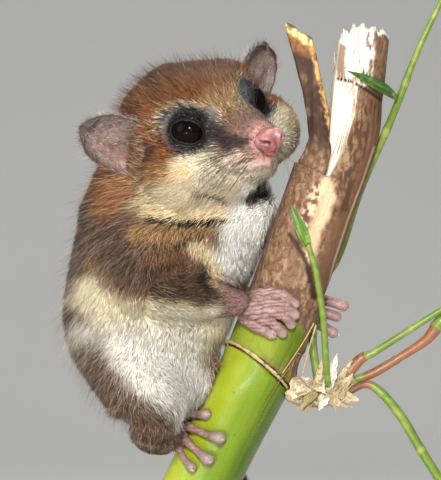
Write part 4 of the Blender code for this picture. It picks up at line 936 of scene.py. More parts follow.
EAR_HAIRS = 4200
ear_mat = shader("ear_skin", 0.42, 0.45, soft=(0.30, (1.0, 0.4, 0.3), 0.0010))
vein = step(ear_mat, noise(ear_mat, 700.0, 3.0, 0.6, bend=1.4), 0.46, 0.56)
coloured(ear_mat, blend(ear_mat, vein, stain(ear_mat), (0.115, 0.062, 0.058, 1), 0.35))
bumped(ear_mat, noise(ear_mat, 3400.0, 4.0, 0.6), distance=0.00008, strength=0.6)
for s, name in ((-1, "right"), (1, "left")):
    root = head_place(2.5, -12.1, -4.1) if s < 0 else head_place(0.9, 12.0, -4.4)
    along = (HEAD_F * -2.8 + HEAD_L * 8.6 * s + HEAD_U * 7.6) * (1.14 if s < 0 else 1.0)
    length = np.linalg.norm(along)
    along = way_of(along)
    front = HEAD_F * 0.75 + HEAD_L * 0.5 * s + HEAD_U * 0.25
    front = way_of(front - along * front.dot(along))
    across = np.cross(along, front)
    rows, cols = 38, 36
    v, c = np.meshgrid(np.linspace(-0.26, 1, rows + 1), np.linspace(-1, 1, cols + 1), indexing="ij")
    v, c = v.ravel(), c.ravel()
    half = np.where(v < 0.4, 4.5 + 0.4 * np.clip(v, 0, 1) / 0.4,
                    4.9 * np.clip(1 - np.clip((v - 0.4) / 0.603, 0, 1) ** 2.7, 0, 1) ** 0.42)
    deep = 2.3 * (1 - c * c) * (1 - 0.75 * v * v)
    roll = 0.75 * np.abs(c) ** 6 + 0.35 * np.clip(v, 0, 1) ** 9
    fold = 0.75 * np.exp(-((c - 0.42 * s) / 0.13) ** 2) * ramp(v, 0.0, 0.15) * fade(v, 0.45, 0.78)
    fold += 0.5 * np.exp(-((c + 0.50 * s) / 0.11) ** 2) * ramp(v, 0.0, 0.1) * fade(v, 0.3, 0.55)
    crinkle = 0.10 * np.sin(v * 31 + 2.2 * c) * ramp(v, 0.35, 0.7)
    crinkle = crinkle + 0.10 * mottled(np.stack([v, c, v], 1) * 9, 2.0, 41)
    sheet = root + np.outer(length * v * (1 - 0.10 * c * c), along) + np.outer(half * c, across)
    sheet = sheet + np.outer(roll + fold + crinkle - deep, front)
    grid = np.arange((rows + 1) * (cols + 1)).reshape(rows + 1, cols + 1)
    quads = np.stack([grid[:-1, :-1], grid[:-1, 1:], grid[1:, 1:], grid[1:, :-1]], 2).reshape(-1, 4)
    if s < 0:
        quads = quads[:, ::-1]
    ear = mesh_piece("ear_cup_" + name, sheet, quads)
    tint = painted(
        light(146, 118, 108),
        ((84, 64, 56), ramp(mottled(sheet, 0.8, 42), 0.0, 0.7) * 0.8),
        ((98, 80, 72), ramp(v, 0.45, 0.8) * 0.7),
        ((84, 60, 52), fade(v, 0.12, 0.42) * 0.65),
        ((64, 50, 48), ramp(np.maximum(np.abs(c), v), 0.86, 0.97) * 0.85),
        ((214, 176, 172), np.exp(-((v - 0.12) / 0.15) ** 2 - ((c * s - 0.72) / 0.32) ** 2)),
        ((150, 118, 108), np.exp(-((c - 0.42 * s) / 0.16) ** 2) * 0.6))
    stained(ear, sheet, tint, scale=False)
    shell = ear.modifiers.new("shell", "SOLIDIFY")
    shell.thickness = 0.32
    shell.offset = 0.0
    shell.use_even_offset = False
    soft = ear.modifiers.new("soft", "SUBSURF")
    soft.levels = 1
    soft.render_levels = 1
    take_modifiers(ear)
    spot = places(ear.data)
    out = normals_of(ear.data)
    q = spot - root
    v = (q @ along) / length
    n = EAR_HAIRS
    draw = np.random.default_rng(60 + s)
    wide = (q @ across) / 4.9
    weight = 0.35 + ramp(v, 0.0, 0.6) + 2.0 * fade(v, 0.0, 0.05)
    weight = weight * ramp(v, -0.18, -0.12) * fade(v, 0.80, 1.02)
    pick = draw.choice(len(spot), n, p=weight / weight.sum())
    patch = np.stack([(v[pick] + 0.2) / 1.3, 0.5 + 0.45 * np.clip(wide[pick], -1, 1)], 1)
    way = unit(along * 0.8 + across * draw.normal(0, 0.35, n)[:, None] + out[pick] * 0.1)
    edge = ramp(v[pick], 0.75, 1.0)
    hue = np.array(light(240, 230, 222)) * (draw.uniform(0.25, 1.0, n) * (1 - 0.6 * edge))[:, None] ** 1.5
    low = fade(v[pick], 0.0, 0.09)
    brown = light(104, 78, 62) * draw.uniform(0.5, 1.8, n)[:, None]
    hue = hue + (brown - hue) * low[:, None]
    fuzz = tuft_mesh("ear_hair_" + name, spot[pick] + out[pick] * 0.1, out[pick], way,
                     draw.uniform(0.8, 1.9, n) * (1 - 0.3 * edge + 0.9 * low),
                     draw.uniform(0.022, 0.048, n) * (1 + 0.5 * low),
                     np.radians(draw.normal(20, 8, n)).clip(0.1, 0.9) + 0.4 * edge + 0.25 * low, hue, patch,
                     70 + s, bent=False)
    ear.data.transform(Matrix.Scale(0.001, 4))
    ear.data.shade_smooth()
    finish(ear, ear_mat, "bare_skin", "ear_" + name)
    finish(fuzz, fur, "fur_coat")

# Hands and feet: bare mauve skin, wrinkled across the joints, with soft swollen pads at the
# finger ends and small pale claws. They are built as smooth fleshy chains set on the culm.
CULM = [(-19.2, 8.7, 18.0), (0.55, 2.8, 60.0), (10.8, -0.2, 81.5), (24.1, -5.3, 118.2), (26.1, -6.8, 129.3),
        (26.9, -7.9, 137.0), (27.8, -9.4, 147.5)]
culm_line = line_through(CULM, 16)
CULM_R = 6.6


def axis_at(z):
    """Point and direction of the culm's middle line at a height."""
    i = int(np.clip(np.searchsorted(culm_line[:, 2], z), 1, len(culm_line) - 1))
    a, b = culm_line[i - 1], culm_line[i]
    t = (b - a) / np.linalg.norm(b - a)
    return a + (b - a) * (z - a[2]) / (b[2] - a[2]), t


def axis_all(p):
    """The culm's middle line at the heights of points."""
    z = p[:, 2]
    return np.stack([np.interp(z, culm_line[:, 2], culm_line[:, k]) for k in (0, 1)] + [z], 1)


def on_culm(x, z, out, side=-1, radius=CULM_R):
    """Point a distance `out` off the culm's surface, on its front (-1) or back (+1)."""
    p, t = axis_at(z)
    dx = x - p[0]
    rho = radius + out
    a = 1 - t[1] ** 2
    b = -2 * dx * t[0] * t[1]
    c = dx * dx * (1 - t[0] ** 2) - rho * rho
    root = math.sqrt(max(b * b - 4 * a * c, (2 * a * 2.6) ** 2))
    return (x, p[1] + (-b + side * root) / (2 * a), z)


def gripping(rows, side=-1, radius=CULM_R):
    """Rows of x, z, out, r as rows of x, y, z, r on the culm."""
    return [on_culm(x, z, max(out, r + 0.35), side, radius) + (r,) for x, z, out, r in rows]


def mesh_from(name, parts, tones=None):
    """Many small things as one joined piece, in metres."""
    verts, faces, tint = [], [], []
    for i, (v, q) in enumerate(parts):
        start = sum(len(x) for x in verts)
        verts.append(np.asarray(v))
        faces += [tuple(j + start for j in face) for face in q]
        tint.append(np.tile(tones[i] if tones else (1, 1, 1), (len(v), 1)))
    spot = np.vstack(verts)
    obj = mesh_piece(name, spot, faces)
    stained(obj, spot, np.vstack(tint))
    return obj


def tube_rows(rows, sides, per):
    """Points and faces of a closed round bar along a smooth line of x, y, z, r."""
    rows = line_through(rows, per) if per > 1 else np.asarray(rows, float)
    path, radii = rows[:, :3], rows[:, 3]
    tangent = unit(np.gradient(path, axis=0))
    up = np.array((0.13, 1.0, 0.21))
    verts = []
    for p, t, r in zip(path, tangent, radii):
        up = way_of(up - t * up.dot(t))
        across = np.cross(t, up)
        for k in range(sides):
            a = 2 * math.pi * k / sides
            verts.append(p + r * (math.cos(a) * across + math.sin(a) * up))
    n = len(rows)
    verts += [path[0], path[-1]]
    faces = []
    for i in range(n - 1):
        for k in range(sides):
            j = (k + 1) % sides
            faces.append((i * sides + k, i * sides + j, (i + 1) * sides + j, (i + 1) * sides + k))
    for k in range(sides):
        j = (k + 1) % sides
        faces.append((n * sides, j, k))
        faces.append((n * sides + 1, (n - 1) * sides + k, (n - 1) * sides + j))
    return np.array(verts), faces


def sliver(points, radii, sides, per):
    """A closed round bar through points, with its radius at each."""
    return tube_rows(np.column_stack([points, radii]), sides, per)


HAND = {
    "right": [
        [(7.6, 91.9, 1.9, 1.9), (9.0, 91.6, 1.7, 2.2), (10.2, 91.2, 1.5, 2.1)],
        [(8.8, 93.2, 1.5, 1.2), (11.8, 94.4, 2.2, 1.1), (14.8, 94.0, 1.9, 1.02), (16.8, 92.4, 1.0, 0.92)],
        [(9.2, 92.2, 1.6, 1.2), (12.5, 92.8, 2.5, 1.15), (15.4, 91.9, 2.0, 1.05), (16.9, 90.4, 1.0, 0.95)],
        [(9.2, 91.0, 1.6, 1.2), (12.4, 91.0, 2.5, 1.15), (15.1, 90.0, 2.0, 1.05), (16.2, 88.7, 1.0, 0.95)],
        [(8.6, 89.9, 1.6, 1.15), (11.4, 89.4, 2.3, 1.1), (13.7, 88.3, 1.8, 1.0), (14.7, 87.1, 0.9, 0.92)],
        [(7.8, 89.8, 1.4, 1.15), (9.6, 88.4, 1.9, 1.05), (11.4, 87.5, 1.6, 0.95), (12.7, 86.8, 0.9, 0.88)]],
    "left": [
        [(11.6, 92.2, 1.9, 2.1), (13.4, 91.6, 1.7, 2.2), (14.8, 91.0, 1.5, 1.9)]]}
FINGERS = [
    [(15.0, 5.6, 92.2, 1.05), (18.6, 5.5, 92.6, 1.0), (22.6, 5.0, 92.5, 0.9), (26.4, 4.4, 91.5, 0.85)],
    [(15.4, 5.7, 91.0, 1.05), (18.4, 5.9, 90.8, 1.0), (21.8, 5.4, 90.4, 0.9), (25.0, 4.8, 89.5, 0.85)],
    [(15.2, 5.7, 89.8, 1.05), (17.8, 5.9, 89.2, 1.0), (21.0, 5.2, 88.4, 0.9), (24.4, 4.6, 86.6, 0.85)],
    [(13.8, 6.2, 89.6, 1.05), (15.6, 6.8, 87.6, 0.98), (17.2, 6.2, 85.8, 0.86), (18.4, 5.2, 84.4, 0.8)],
    [(13.6, 6.0, 92.8, 1.05), (15.6, 6.6, 94.6, 0.98), (17.8, 6.2, 95.9, 0.86), (19.8, 5.2, 96.4, 0.8)]]
FOOT = {
    "right": [
        [(-6.4, 67.8, 2.2, 2.2), (-5.2, 68.7, 1.8, 2.3), (-4.2, 69.6, 1.4, 2.1)],
        [(-4.6, 70.9, 1.2, 1.25), (-4.6, 72.5, 1.7, 1.12), (-3.6, 74.1, 1.5, 1.1), (-1.9, 74.5, 0.9, 1.25)],
        [(-3.8, 70.8, 1.2, 1.2), (-2.7, 71.9, 1.9, 1.08), (-1.0, 72.1, 1.6, 1.02), (0.9, 72.3, 0.9, 1.15)],
        [(-3.6, 70.0, 1.2, 1.25), (-1.8, 69.9, 1.9, 1.1), (0.6, 69.0, 1.5, 1.02), (3.4, 68.2, 0.9, 1.35)],
        [(-4.0, 69.0, 1.2, 1.25), (-2.2, 67.3, 1.7, 1.12), (-0.6, 65.9, 1.4, 1.04), (1.3, 64.4, 0.9, 1.35)],
        [(-4.4, 68.0, 1.0, 1.2), (-3.8, 66.0, 1.3, 1.0), (-2.8, 64.2, 1.2, 0.95), (-1.6, 62.8, 0.9, 1.1)]],
    "left": [
        [(-6.0, 67.6, 2.4, 2.2), (-4.8, 68.2, 1.9, 2.3), (-3.6, 68.8, 1.4, 2.1)],
        [(-4.2, 70.2, 1.2, 1.2), (-3.8, 71.8, 1.7, 1.1), (-2.8, 73.2, 1.5, 1.05), (-1.4, 73.9, 0.9, 1.2)],
        [(-3.2, 70.0, 1.2, 1.2), (-1.6, 71.2, 1.9, 1.08), (0.2, 72.2, 1.6, 1.02), (2.0, 72.8, 0.9, 1.2)],
        [(-2.8, 69.2, 1.2, 1.2), (-0.8, 69.8, 1.9, 1.08), (1.4, 70.2, 1.5, 1.02), (3.6, 70.4, 0.9, 1.25)],
        [(-2.8, 68.2, 1.2, 1.2), (-0.6, 67.8, 1.9, 1.08), (1.6, 67.2, 1.5, 1.02), (3.8, 66.6, 0.9, 1.25)],
        [(-3.6, 67.4, 1.2, 1.2), (-2.2, 65.8, 1.7, 1.05), (-0.8, 64.6, 1.4, 1.0), (0.8, 63.6, 0.9, 1.2)]]}
WRIST_HAIRS = 500
SLIM = {"hand": (0.98, 0.92, 0.88, 0.95), "foot": (0.92, 0.74, 0.66, 0.86)}
TONES = {"hand": ((150, 119, 111), (172, 145, 139)), "foot": ((138, 108, 98), (146, 130, 120))}
LIMBS = {"hand": {"right": ARM_RIGHT, "left": ARM_LEFT}, "foot": {"right": LEG_RIGHT, "left": LEG_LEFT}}
paw_mat = shader("paw_skin", 0.46, 0.5, soft=(0.10, (1.0, 0.4, 0.3), 0.0006))
wrinkle = noise(paw_mat, 2600.0, 5.0, 0.65, bend=0.8)
dark_lines = step(paw_mat, wrinkle, 0.30, 0.46)
coloured(paw_mat, blend(paw_mat, dark_lines, (0.12, 0.062, 0.060, 1), stain(paw_mat), 1.0))
bumped(paw_mat, wrinkle, distance=0.00008, strength=0.7)
claw_mat = shader("claw", 0.28, 0.5, soft=(0.4, (1.0, 0.6, 0.4), 0.0006),
                  more={"Base Color": (0.47, 0.36, 0.29, 1)})
for kind, table in (("hand", HAND), ("foot", FOOT)):
    for side, sign in (("right", -1), ("left", 1)):
        chains = [np.array(gripping(rows, sign)) for rows in table[side]]
        for chain in chains[1:]:
            chain[:, 3] *= SLIM[kind]
        if kind == "hand" and side == "left":
            chains += [np.array(rows) * (1, 1, 1, 1.12) for rows in FINGERS]
        lead = LIMBS[kind][side]
        palm = np.vstack([lead[-2] * (1, 1, 1, 0.86), chains[0]])
        balls = [(row[:3], (row[3],) * 3) for row in line_through(palm, 6)]
        horns = []
        smooth_lines = []
        for chain in chains[1:]:
            rows = line_through(chain, 8)
            smooth_lines.append(rows)
            down = np.linspace(0, 1, len(rows))
            knuckles = np.exp(-((down - 0.36) / 0.07) ** 2), np.exp(-((down - 0.68) / 0.06) ** 2)
            lump = 1 + 0.07 * knuckles[0] + 0.07 * knuckles[1]
            for row, fat in zip(rows, lump):
                balls.append((row[:3], (row[3] * fat,) * 3))
            tip, before = chain[-1], chain[-2]
            ahead = way_of(tip[:3] - before[:3])
            inward = way_of(axis_at(tip[2])[0] - tip[:3])
            balls.append((tip[:3] + ahead * 0.1 + inward * 0.12, (tip[3] * 1.06,) * 3))
            top = tip[:3] - inward * tip[3] * 0.50 + ahead * tip[3] * 0.50
            horns.append(sliver([top - ahead * 0.3, top + ahead * 0.25, top + ahead * 0.55 + inward * 0.25,
                                 top + ahead * 0.70 + inward * 0.6], (0.24, 0.22, 0.14, 0.03), 10, 5))
        flesh_piece = blob("%s_flesh_%s" % (kind, side), balls, voxel=0.16, rounds=3)
        spot = places(flesh_piece.data)
        out = normals_of(flesh_piece.data)
        best = np.full(len(spot), 1e9)
        far = np.zeros(len(spot))
        for rows in smooth_lines:
            run = np.concatenate([[0], np.cumsum(np.linalg.norm(np.diff(rows[:, :3], axis=0), axis=1))])
            for i in range(len(rows) - 1):
                a, b = rows[i, :3], rows[i + 1, :3]
                t = np.clip(((spot - a) @ (b - a)) / max((b - a) @ (b - a), 1e-9), 0, 1)
                off = np.linalg.norm(spot - a - t[:, None] * (b - a), axis=1) / rows[i, 3]
                near = off < best
                best = np.where(near, off, best)
                far = np.where(near, (run[i] + t * (run[i + 1] - run[i])) / run[-1], far)
        axis_mid = axis_all(spot)
        inward = unit(axis_mid - spot)
        dorsal = ramp(-np.sum(out * inward, axis=1), -0.1, 0.5)
        ring = 0.5 + 0.5 * np.cos(far * 2 * math.pi * 8.5 + 1.4 * mottled(spot, 0.9, 52))
        joint = np.exp(-((far - 0.36) / 0.10) ** 2) + np.exp(-((far - 0.68) / 0.09) ** 2)
        on_digit = ramp(far, 0.12, 0.3) * fade(best, 1.2, 1.5)
        crease = ring ** 4 * (0.1 + 0.5 * np.clip(joint, 0, 1)) * on_digit * (0.3 + 0.7 * dorsal)
        run_up = spot[:, 2] * 0.97 - spot[:, 0] * 0.12 + 0.35 * mottled(spot * (0.35, 1, 1), 0.9, 55)
        long_fold = (0.5 + 0.5 * np.cos(run_up * 2 * math.pi / 0.80)) ** 3 * fade(far, 0.60, 0.95)
        crease = np.maximum(crease, long_fold * (0.95 if kind == "hand" else 0.6))
        knit = 0.035 * mottled(spot, 0.33, 53)
        spot = spot + out * (knit - 0.13 * crease)[:, None]
        tone, tip_tone = TONES[kind]
        knuckle, fold_shade = np.clip(joint, 0, 1), np.clip(crease, 0, 1)
        # Where painted shade falls between the fingers and toes.
        between = ramp(best, 1.08, 1.30) * fade(best, 1.45, 1.75)
        between = between * ramp(far, 0.35, 0.5) * fade(far, 0.80, 0.95)
        tint = painted(
            light(*tone),
            (tip_tone, ramp(far, 0.84, 0.97) * fade(best, 1.2, 1.6)),
            ((150, 106, 104), (1 - dorsal) * 0.6),
            # Painted shade: darker in the creases and folds of the skin.
            ((92, 58, 56), fold_shade * 0.85),
            ((186, 154, 148), knuckle * dorsal * (1 - crease) * 0.4),
            # Painted shade: darker between the fingers and toes.
            ((76, 42, 40), between * 0.7))
        tint = tint * (1 + 0.15 * mottled(spot, 0.8, 54) + 0.10 * mottled(spot, 0.3, 56))[:, None]
        stained(flesh_piece, spot, tint, scale=False)
        thinned(flesh_piece, share=0.5, kept=np.zeros(len(spot), bool))
        unwrapped(flesh_piece)
        n = WRIST_HAIRS
        wrist = lead[-1][:3]
        at, away, patch = strewn(flesh_piece, n, 400 + len(horns) + sign,
                                 lambda p: near_spot(p, wrist, 1.5, 7.0) ** 2 + 1e-6)
        draw = np.random.default_rng(420 + sign)
        arm_way = way_of(lead[-1][:3] - lead[-3][:3])
        way = unit(arm_way - away * (away @ arm_way)[:, None])
        hue = np.where((draw.random(n) < 0.55)[:, None], light(224, 208, 190), light(92, 68, 60))
        length, width = draw.uniform(0.8, 1.8, n), draw.uniform(0.018, 0.036, n)
        lift = np.radians(draw.normal(22, 8, n)).clip(0.1, 0.8)
        hair = tuft_mesh("%s_hair_%s" % (kind, side), at, away, way, length, width, lift, hue, patch,
                         430 + sign, dark=0.8, bent=False)
        finish(hair, fur, "fur_coat")
        flesh_piece.data.transform(Matrix.Scale(0.001, 4))
        finish(flesh_piece, paw_mat, "bare_skin", "%s_%s" % (kind, side))
        horn = mesh_from("claws_%s_%s" % (kind, side), horns)
        finish(horn, claw_mat, "bare_skin")

# Whiskers: stiff tapering hairs rooted in rows on the muzzle, above the eyes and under the
# chin. Most are dark, and more of the lower ones are pale.


def root_on_skin(start, aim):
    """Where a line from outside meets the skin, and which of its faces is there."""
    hit = muzzle_tree.ray_cast(Vector(start), Vector(aim))
    return None if hit[0] is None else (np.array(hit[0]), hit[2])


def grow(root, way, length, droop, thick, steps, tone):
    """A stiff hair that thins from its root to its tip and droops on the way."""
    at, face = root
    bar = sliver([at + way * length * t + droop * length * t * t for t in steps],
                 [thick * (1 - t) + 0.008 for t in steps], 3, 2)
    strands.append(bar)
    tones.append(light(*tone))
    faces_met.append(face)


draw = np.random.default_rng(80)
strands, tones, faces_met = [], [], []
for s in (-1, 1):
    for row in range(5):
        for k in range(6):
            f_at = 21.6 - k * 0.85 + draw.normal(0, 0.2)
            u_at = -2.0 - row * 0.62 + draw.normal(0, 0.12)
            root = root_on_skin(head_place(f_at, s * 12, u_at), -HEAD_L * s)
            if root is None:
                continue
            length = (5.0 + 2.6 * k + 0.8 * row) * draw.uniform(0.75, 1.1)
            way = -HEAD_F * (0.35 + 0.10 * k) + HEAD_L * s * (0.9 - 0.05 * k) + HEAD_U * (-0.10 - 0.26 * row)
            way = way_of(way + draw.normal(0, 0.10, 3))
            dark = draw.random() < (0.85 if row < 3 else 0.35)
            grow(root, way, length, HEAD_U * -0.16 - HEAD_F * 0.14, 0.052, (-0.02, 0.2, 0.45, 0.7, 1.0),
                 (34, 26, 24) if dark else (214, 196, 170))
    for k in range(7):
        root = root_on_skin(head_place(11.0 + 0.6 * k, s * (6.5 - 0.3 * k), 8.0), -HEAD_U)
        if root is None:
            continue
        way = way_of(HEAD_U * 0.9 + HEAD_L * s * 0.5 - HEAD_F * draw.uniform(-0.1, 0.7))
        grow(root, way, draw.uniform(6, 11), HEAD_F * -0.2, 0.04, (-0.02, 0.3, 0.65, 1.0), (40, 30, 26))
    for k in range(10):
        root = root_on_skin(head_place(20.5 - 0.9 * k, s * draw.uniform(0.3, 2.6), -20.0), HEAD_U)
        if root is None:
            continue
        way = way_of(-HEAD_U * 0.8 + HEAD_L * s * 0.3 - HEAD_F * draw.uniform(0.1, 0.6))
        grow(root, way, draw.uniform(3, 6), np.zeros(3), 0.035, (-0.02, 0.4, 1.0), (220, 206, 184))
whiskers = mesh_from("whiskers", strands, tones)
skin_map = skin.data.uv_layers["OFBake"].data
map_at = []
for (verts, quads), face in zip(strands, faces_met):
    middle = np.mean([skin_map[i].uv for i in skin.data.polygons[face].loop_indices], axis=0)
    ring = np.arange(len(verts)) % 3 - 1
    map_at.append(middle + PATCH * np.stack([ring, np.linspace(-1, 1, len(verts))], 1))
corners = np.empty(len(whiskers.data.loops), np.int32)
whiskers.data.loops.foreach_get("vertex_index", corners)
bake_map = whiskers.data.uv_layers.new(name="OFBake")
bake_map.data.foreach_set("uv", np.vstack(map_at)[corners].astype(np.float32).ravel())
whisker_mat = shader("whisker", 0.3, 0.5)
coloured(whisker_mat, stain(whisker_mat))
finish(whiskers, whisker_mat, "fur_coat")

# Culm: a living shoot of bamboo, smooth and green with a waxy bloom, cut square below. The
# green part ends in a slanted ring where the old leaf sheath tore off.
NODE_AT = np.array((10.9, 0.0, 79.9))
NODE_UP = way_of(np.array((0.80, 0.27, 1.0)))


def culm_radius(z):
    return CULM_R + 0.7 * np.exp(-((np.asarray(z) - 77.0) / 5.5) ** 2)


def round_off(spot, keep=0.42):
    """Bring the walls of the culm onto its true round, and tell which points are on it."""
    middle = axis_all(spot)
    way = unit(axis_all(spot + (0, 0, 0.5)) - axis_all(spot - (0, 0, 0.5)))
    off = spot - middle
    run = np.sum(off * way, axis=1)
    off = off - way * run[:, None]
    rho = np.linalg.norm(off, axis=1)
    true = culm_radius(spot[:, 2] - way[:, 2] * run)
    wall = ramp(-np.abs(rho - true), -keep - 0.15, -keep)
    off = off * (1 + wall * (true / np.maximum(rho, 1e-6) - 1))[:, None]
    return middle + way * run[:, None] + off, wall, rho


def fibre_places(spot):
    """Places that run slowly along the culm and fast round it, for its long grain."""
    middle = axis_all(spot)
    off = spot - middle
    return np.stack([off[:, 0], off[:, 1], spot[:, 2] * 0.055], 1)


def along_grain(obj, vectors):
    """Store where each point lies in the fibres of the piece, in metres."""
    layer = obj.data.attributes.new("grain", "FLOAT_VECTOR", "POINT")
    layer.data.foreach_set("vector", (vectors * 0.001).astype(np.float32).ravel())


def rough_of(mat, value, low, high):
    mat.node_tree.links.new(step(mat, value, 0.3, 0.7, low, high),
                            mat.node_tree.nodes["Principled BSDF"].inputs["Roughness"])


green_mat = shader("culm_green", 0.30, 0.36, soft=(0.12, (0.5, 1.0, 0.2), 0.0008))
streak = noise(green_mat, 900.0, 4.0, 0.55, along=True)
fleck = step(green_mat, noise(green_mat, 1500.0, 2.0, 0.5), 0.68, 0.74)
tone = blend(green_mat, step(green_mat, streak, 0.35, 0.65), stain(green_mat), (0.30, 0.42, 0.02, 1), 0.18)
coloured(green_mat, blend(green_mat, fleck, tone, (0.045, 0.075, 0.006, 1), 0.55))
bumped(green_mat, noise(green_mat, 3600.0, 3.0, 0.6, along=True), distance=0.00008, strength=0.7)
rough_of(green_mat, noise(green_mat, 4200.0, 2.0, 0.5), 0.14, 0.42)
lower = grown_from(["culm_lower"], "culm_green_part", voxel=0.46, rounds=2)
spot, wall, rho = round_off(places(lower.data))
height = (spot - NODE_AT) @ NODE_UP
swell = 0.22 * ramp(height, -2.2, -0.4) * wall
middle = axis_all(spot)
spot = spot + unit(spot - middle) * swell[:, None]
# Painted light and shade: the culm is coloured lighter and yellower on its left, palest at the left edge, and
# darker on its right.
side = spot[:, 0] - middle[:, 0]
c = painted(
    light(106, 131, 18),
    ((146, 160, 34), fade(side, -4.5, 0.6)),
    ((70, 98, 8), ramp(side, 1.6, 5.4)),
    ((176, 176, 60), ramp(-side, 4.8, 6.4) * 0.7),
    ((120, 112, 66), ramp(height, -1.0, -0.25) * (0.35 + 0.3 * mottled(spot, 0.8, 61))))
c = c * (1 + 0.08 * mottled(spot * (1, 1, 0.3), 1.2, 62))[:, None]
cut_end = (1 - wall) * fade(spot[:, 2], 20.0, 23.0)
ring_at = np.minimum(rho / CULM_R, 1)
c = painted(c, ((206, 190, 134), cut_end), ((232, 224, 196), cut_end * fade(ring_at, 0.5, 0.72)))
stained(lower, spot, c)
along_grain(lower, fibre_places(spot))
finish(lower, green_mat, "culm_green", "culm_lower")

# Ring scar: the thin fibrous rim that the torn sheath left round the node, dry and tan, with
# short broken fibres along its edge.


def face_out(obj):
    bm = bmesh.new()
    bm.from_mesh(obj.data)
    bmesh.ops.recalc_face_normals(bm, faces=bm.faces)
    if bm.calc_volume(signed=True) < 0:
        bmesh.ops.reverse_faces(bm, faces=bm.faces)
    bm.to_mesh(obj.data)
    bm.free()


n, m = 260, 14
turn = np.linspace(0, 2 * math.pi, n, endpoint=False)
d_axis = np.array(axis_at(80.0)[1])
e_one = way_of(np.cross(d_axis, (0, 1, 0)))
e_two = np.cross(d_axis, e_one)
ring_mid = np.array(axis_at(79.9)[0])
ragged = np.stack([np.cos(turn) * 7, np.sin(turn) * 7, 0 * turn], 1)
jag = 0.16 * mottled(ragged, 0.35, 63) + 0.13 * mottled(ragged, 1.6, 64)
rows = []
for j in range(m):
    b = 2 * math.pi * j / m
    out = np.outer(np.cos(turn), e_one) + np.outer(np.sin(turn), e_two)
    flare = 0.16 * max(0.0, math.sin(b)) ** 2
    grow = 7.04 + (0.29 + 0.5 * jag) * math.cos(b) + flare
    at = ring_mid + out * np.broadcast_to(grow, (n,))[:, None]
    at = at - np.outer((at - NODE_AT) @ NODE_UP / (d_axis @ NODE_UP), d_axis)
    lift = math.sin(b) * (0.24 + (0.9 if math.sin(b) > 0 else 0.4) * jag)
    rows.append(at + d_axis * np.broadcast_to(lift, (n,))[:, None])
sheet = np.stack(rows, 1).reshape(-1, 3)
grid = np.arange(n * m).reshape(n, m)
right, over = np.roll(grid, -1, 0), np.roll(grid, -1, 1)
quads = np.stack([grid, right, np.roll(right, -1, 1), over], 2).reshape(-1, 4)
scar = mesh_piece("sheath_scar", sheet, quads)
face_out(scar)
fray = ramp(mottled(sheet, 0.4, 65), 0.2, 0.9)
stained(scar, sheet, painted(light(216, 192, 146), ((140, 104, 64), fray * 0.7)))
run_round = np.repeat(turn * 7.0, m)
along_grain(scar, np.stack([run_round, np.tile(np.arange(m) * 0.1, n), 0 * run_round], 1))
dry_mat = shader("dry_fibre", 0.72, 0.3)
threads = noise(dry_mat, 3000.0, 5.0, 0.65, along=True)
pulled = step(dry_mat, threads, 0.40, 0.62)
coloured(dry_mat, blend(dry_mat, pulled, stain(dry_mat), (0.10, 0.055, 0.028, 1), 0.45))
bumped(dry_mat, threads, distance=0.00022, strength=0.9)
finish(scar, dry_mat, "scar_cork", "culm_scar")
draw = np.random.default_rng(66)
fibres, fibre_tones = [], []
for k in range(110):
    a = draw.uniform(0, 2 * math.pi)
    out = math.cos(a) * e_one + math.sin(a) * e_two
    at = ring_mid + out * 7.25
    at = at - d_axis * ((at - NODE_AT) @ NODE_UP / (d_axis @ NODE_UP))
    go = d_axis * draw.choice((-1, 1), p=(0.35, 0.65)) + out * draw.uniform(0.0, 0.35)
    go = way_of(go + np.cross(d_axis, out) * draw.normal(0, 0.7))
    long = draw.uniform(0.3, 0.9)
    fibres.append(sliver([at - go * 0.2, at + go * long * 0.5 + out * 0.05, at + go * long],
                         (0.05, 0.035, 0.012), 4, 2))
    fibre_tones.append(light(206, 172, 118) * draw.uniform(0.55, 1.1))
for marks, wide, tone in (([(288, 366), (278, 380), (262, 408), (250, 437)], 0.07, (170, 132, 58)),
                          ([(313, 322), (304, 338), (292, 356), (281, 372)], 0.16, (206, 172, 120)),
                          ([(315, 324), (308, 348), (301, 377)], 0.17, (214, 190, 148)),
                          ([(297, 352), (303, 356), (304, 366)], 0.09, (196, 160, 110))):
    pts = [on_culm(x, z, 0.42 if z > 76 else 0.14, -1, culm_radius(z)) for x, z in seen(*marks)]
    fibres.append(sliver(pts, [wide * (1 - 0.5 * i / len(marks)) for i in range(len(marks))], 6, 6))
    fibre_tones.append(light(*tone))
loose_fibre = mesh_from("loose_fibres", fibres, fibre_tones)
along_grain(loose_fibre, places(loose_fibre.data) * 1000)
finish(loose_fibre, dry_mat, "scar_cork")

# Upper culm: green just above the ring, then wrapped in its dry brown sheath. Its top is broken
# and torn open on the near side down to the pale pith, which stands in long splintered fibres.


def torn_face(x, z):
    p = axis_at(z)[0]
    return p[1] - 4.6 - 0.50 * (x - p[0])


def broken(p, size, seed):
    """Small broken patches, with values mostly between -0.6 and 0.6."""
    return np.array([turbulence.fractal(Vector(q), 0.8, 2.0, 3) for q in p / size + seed * 7.3])


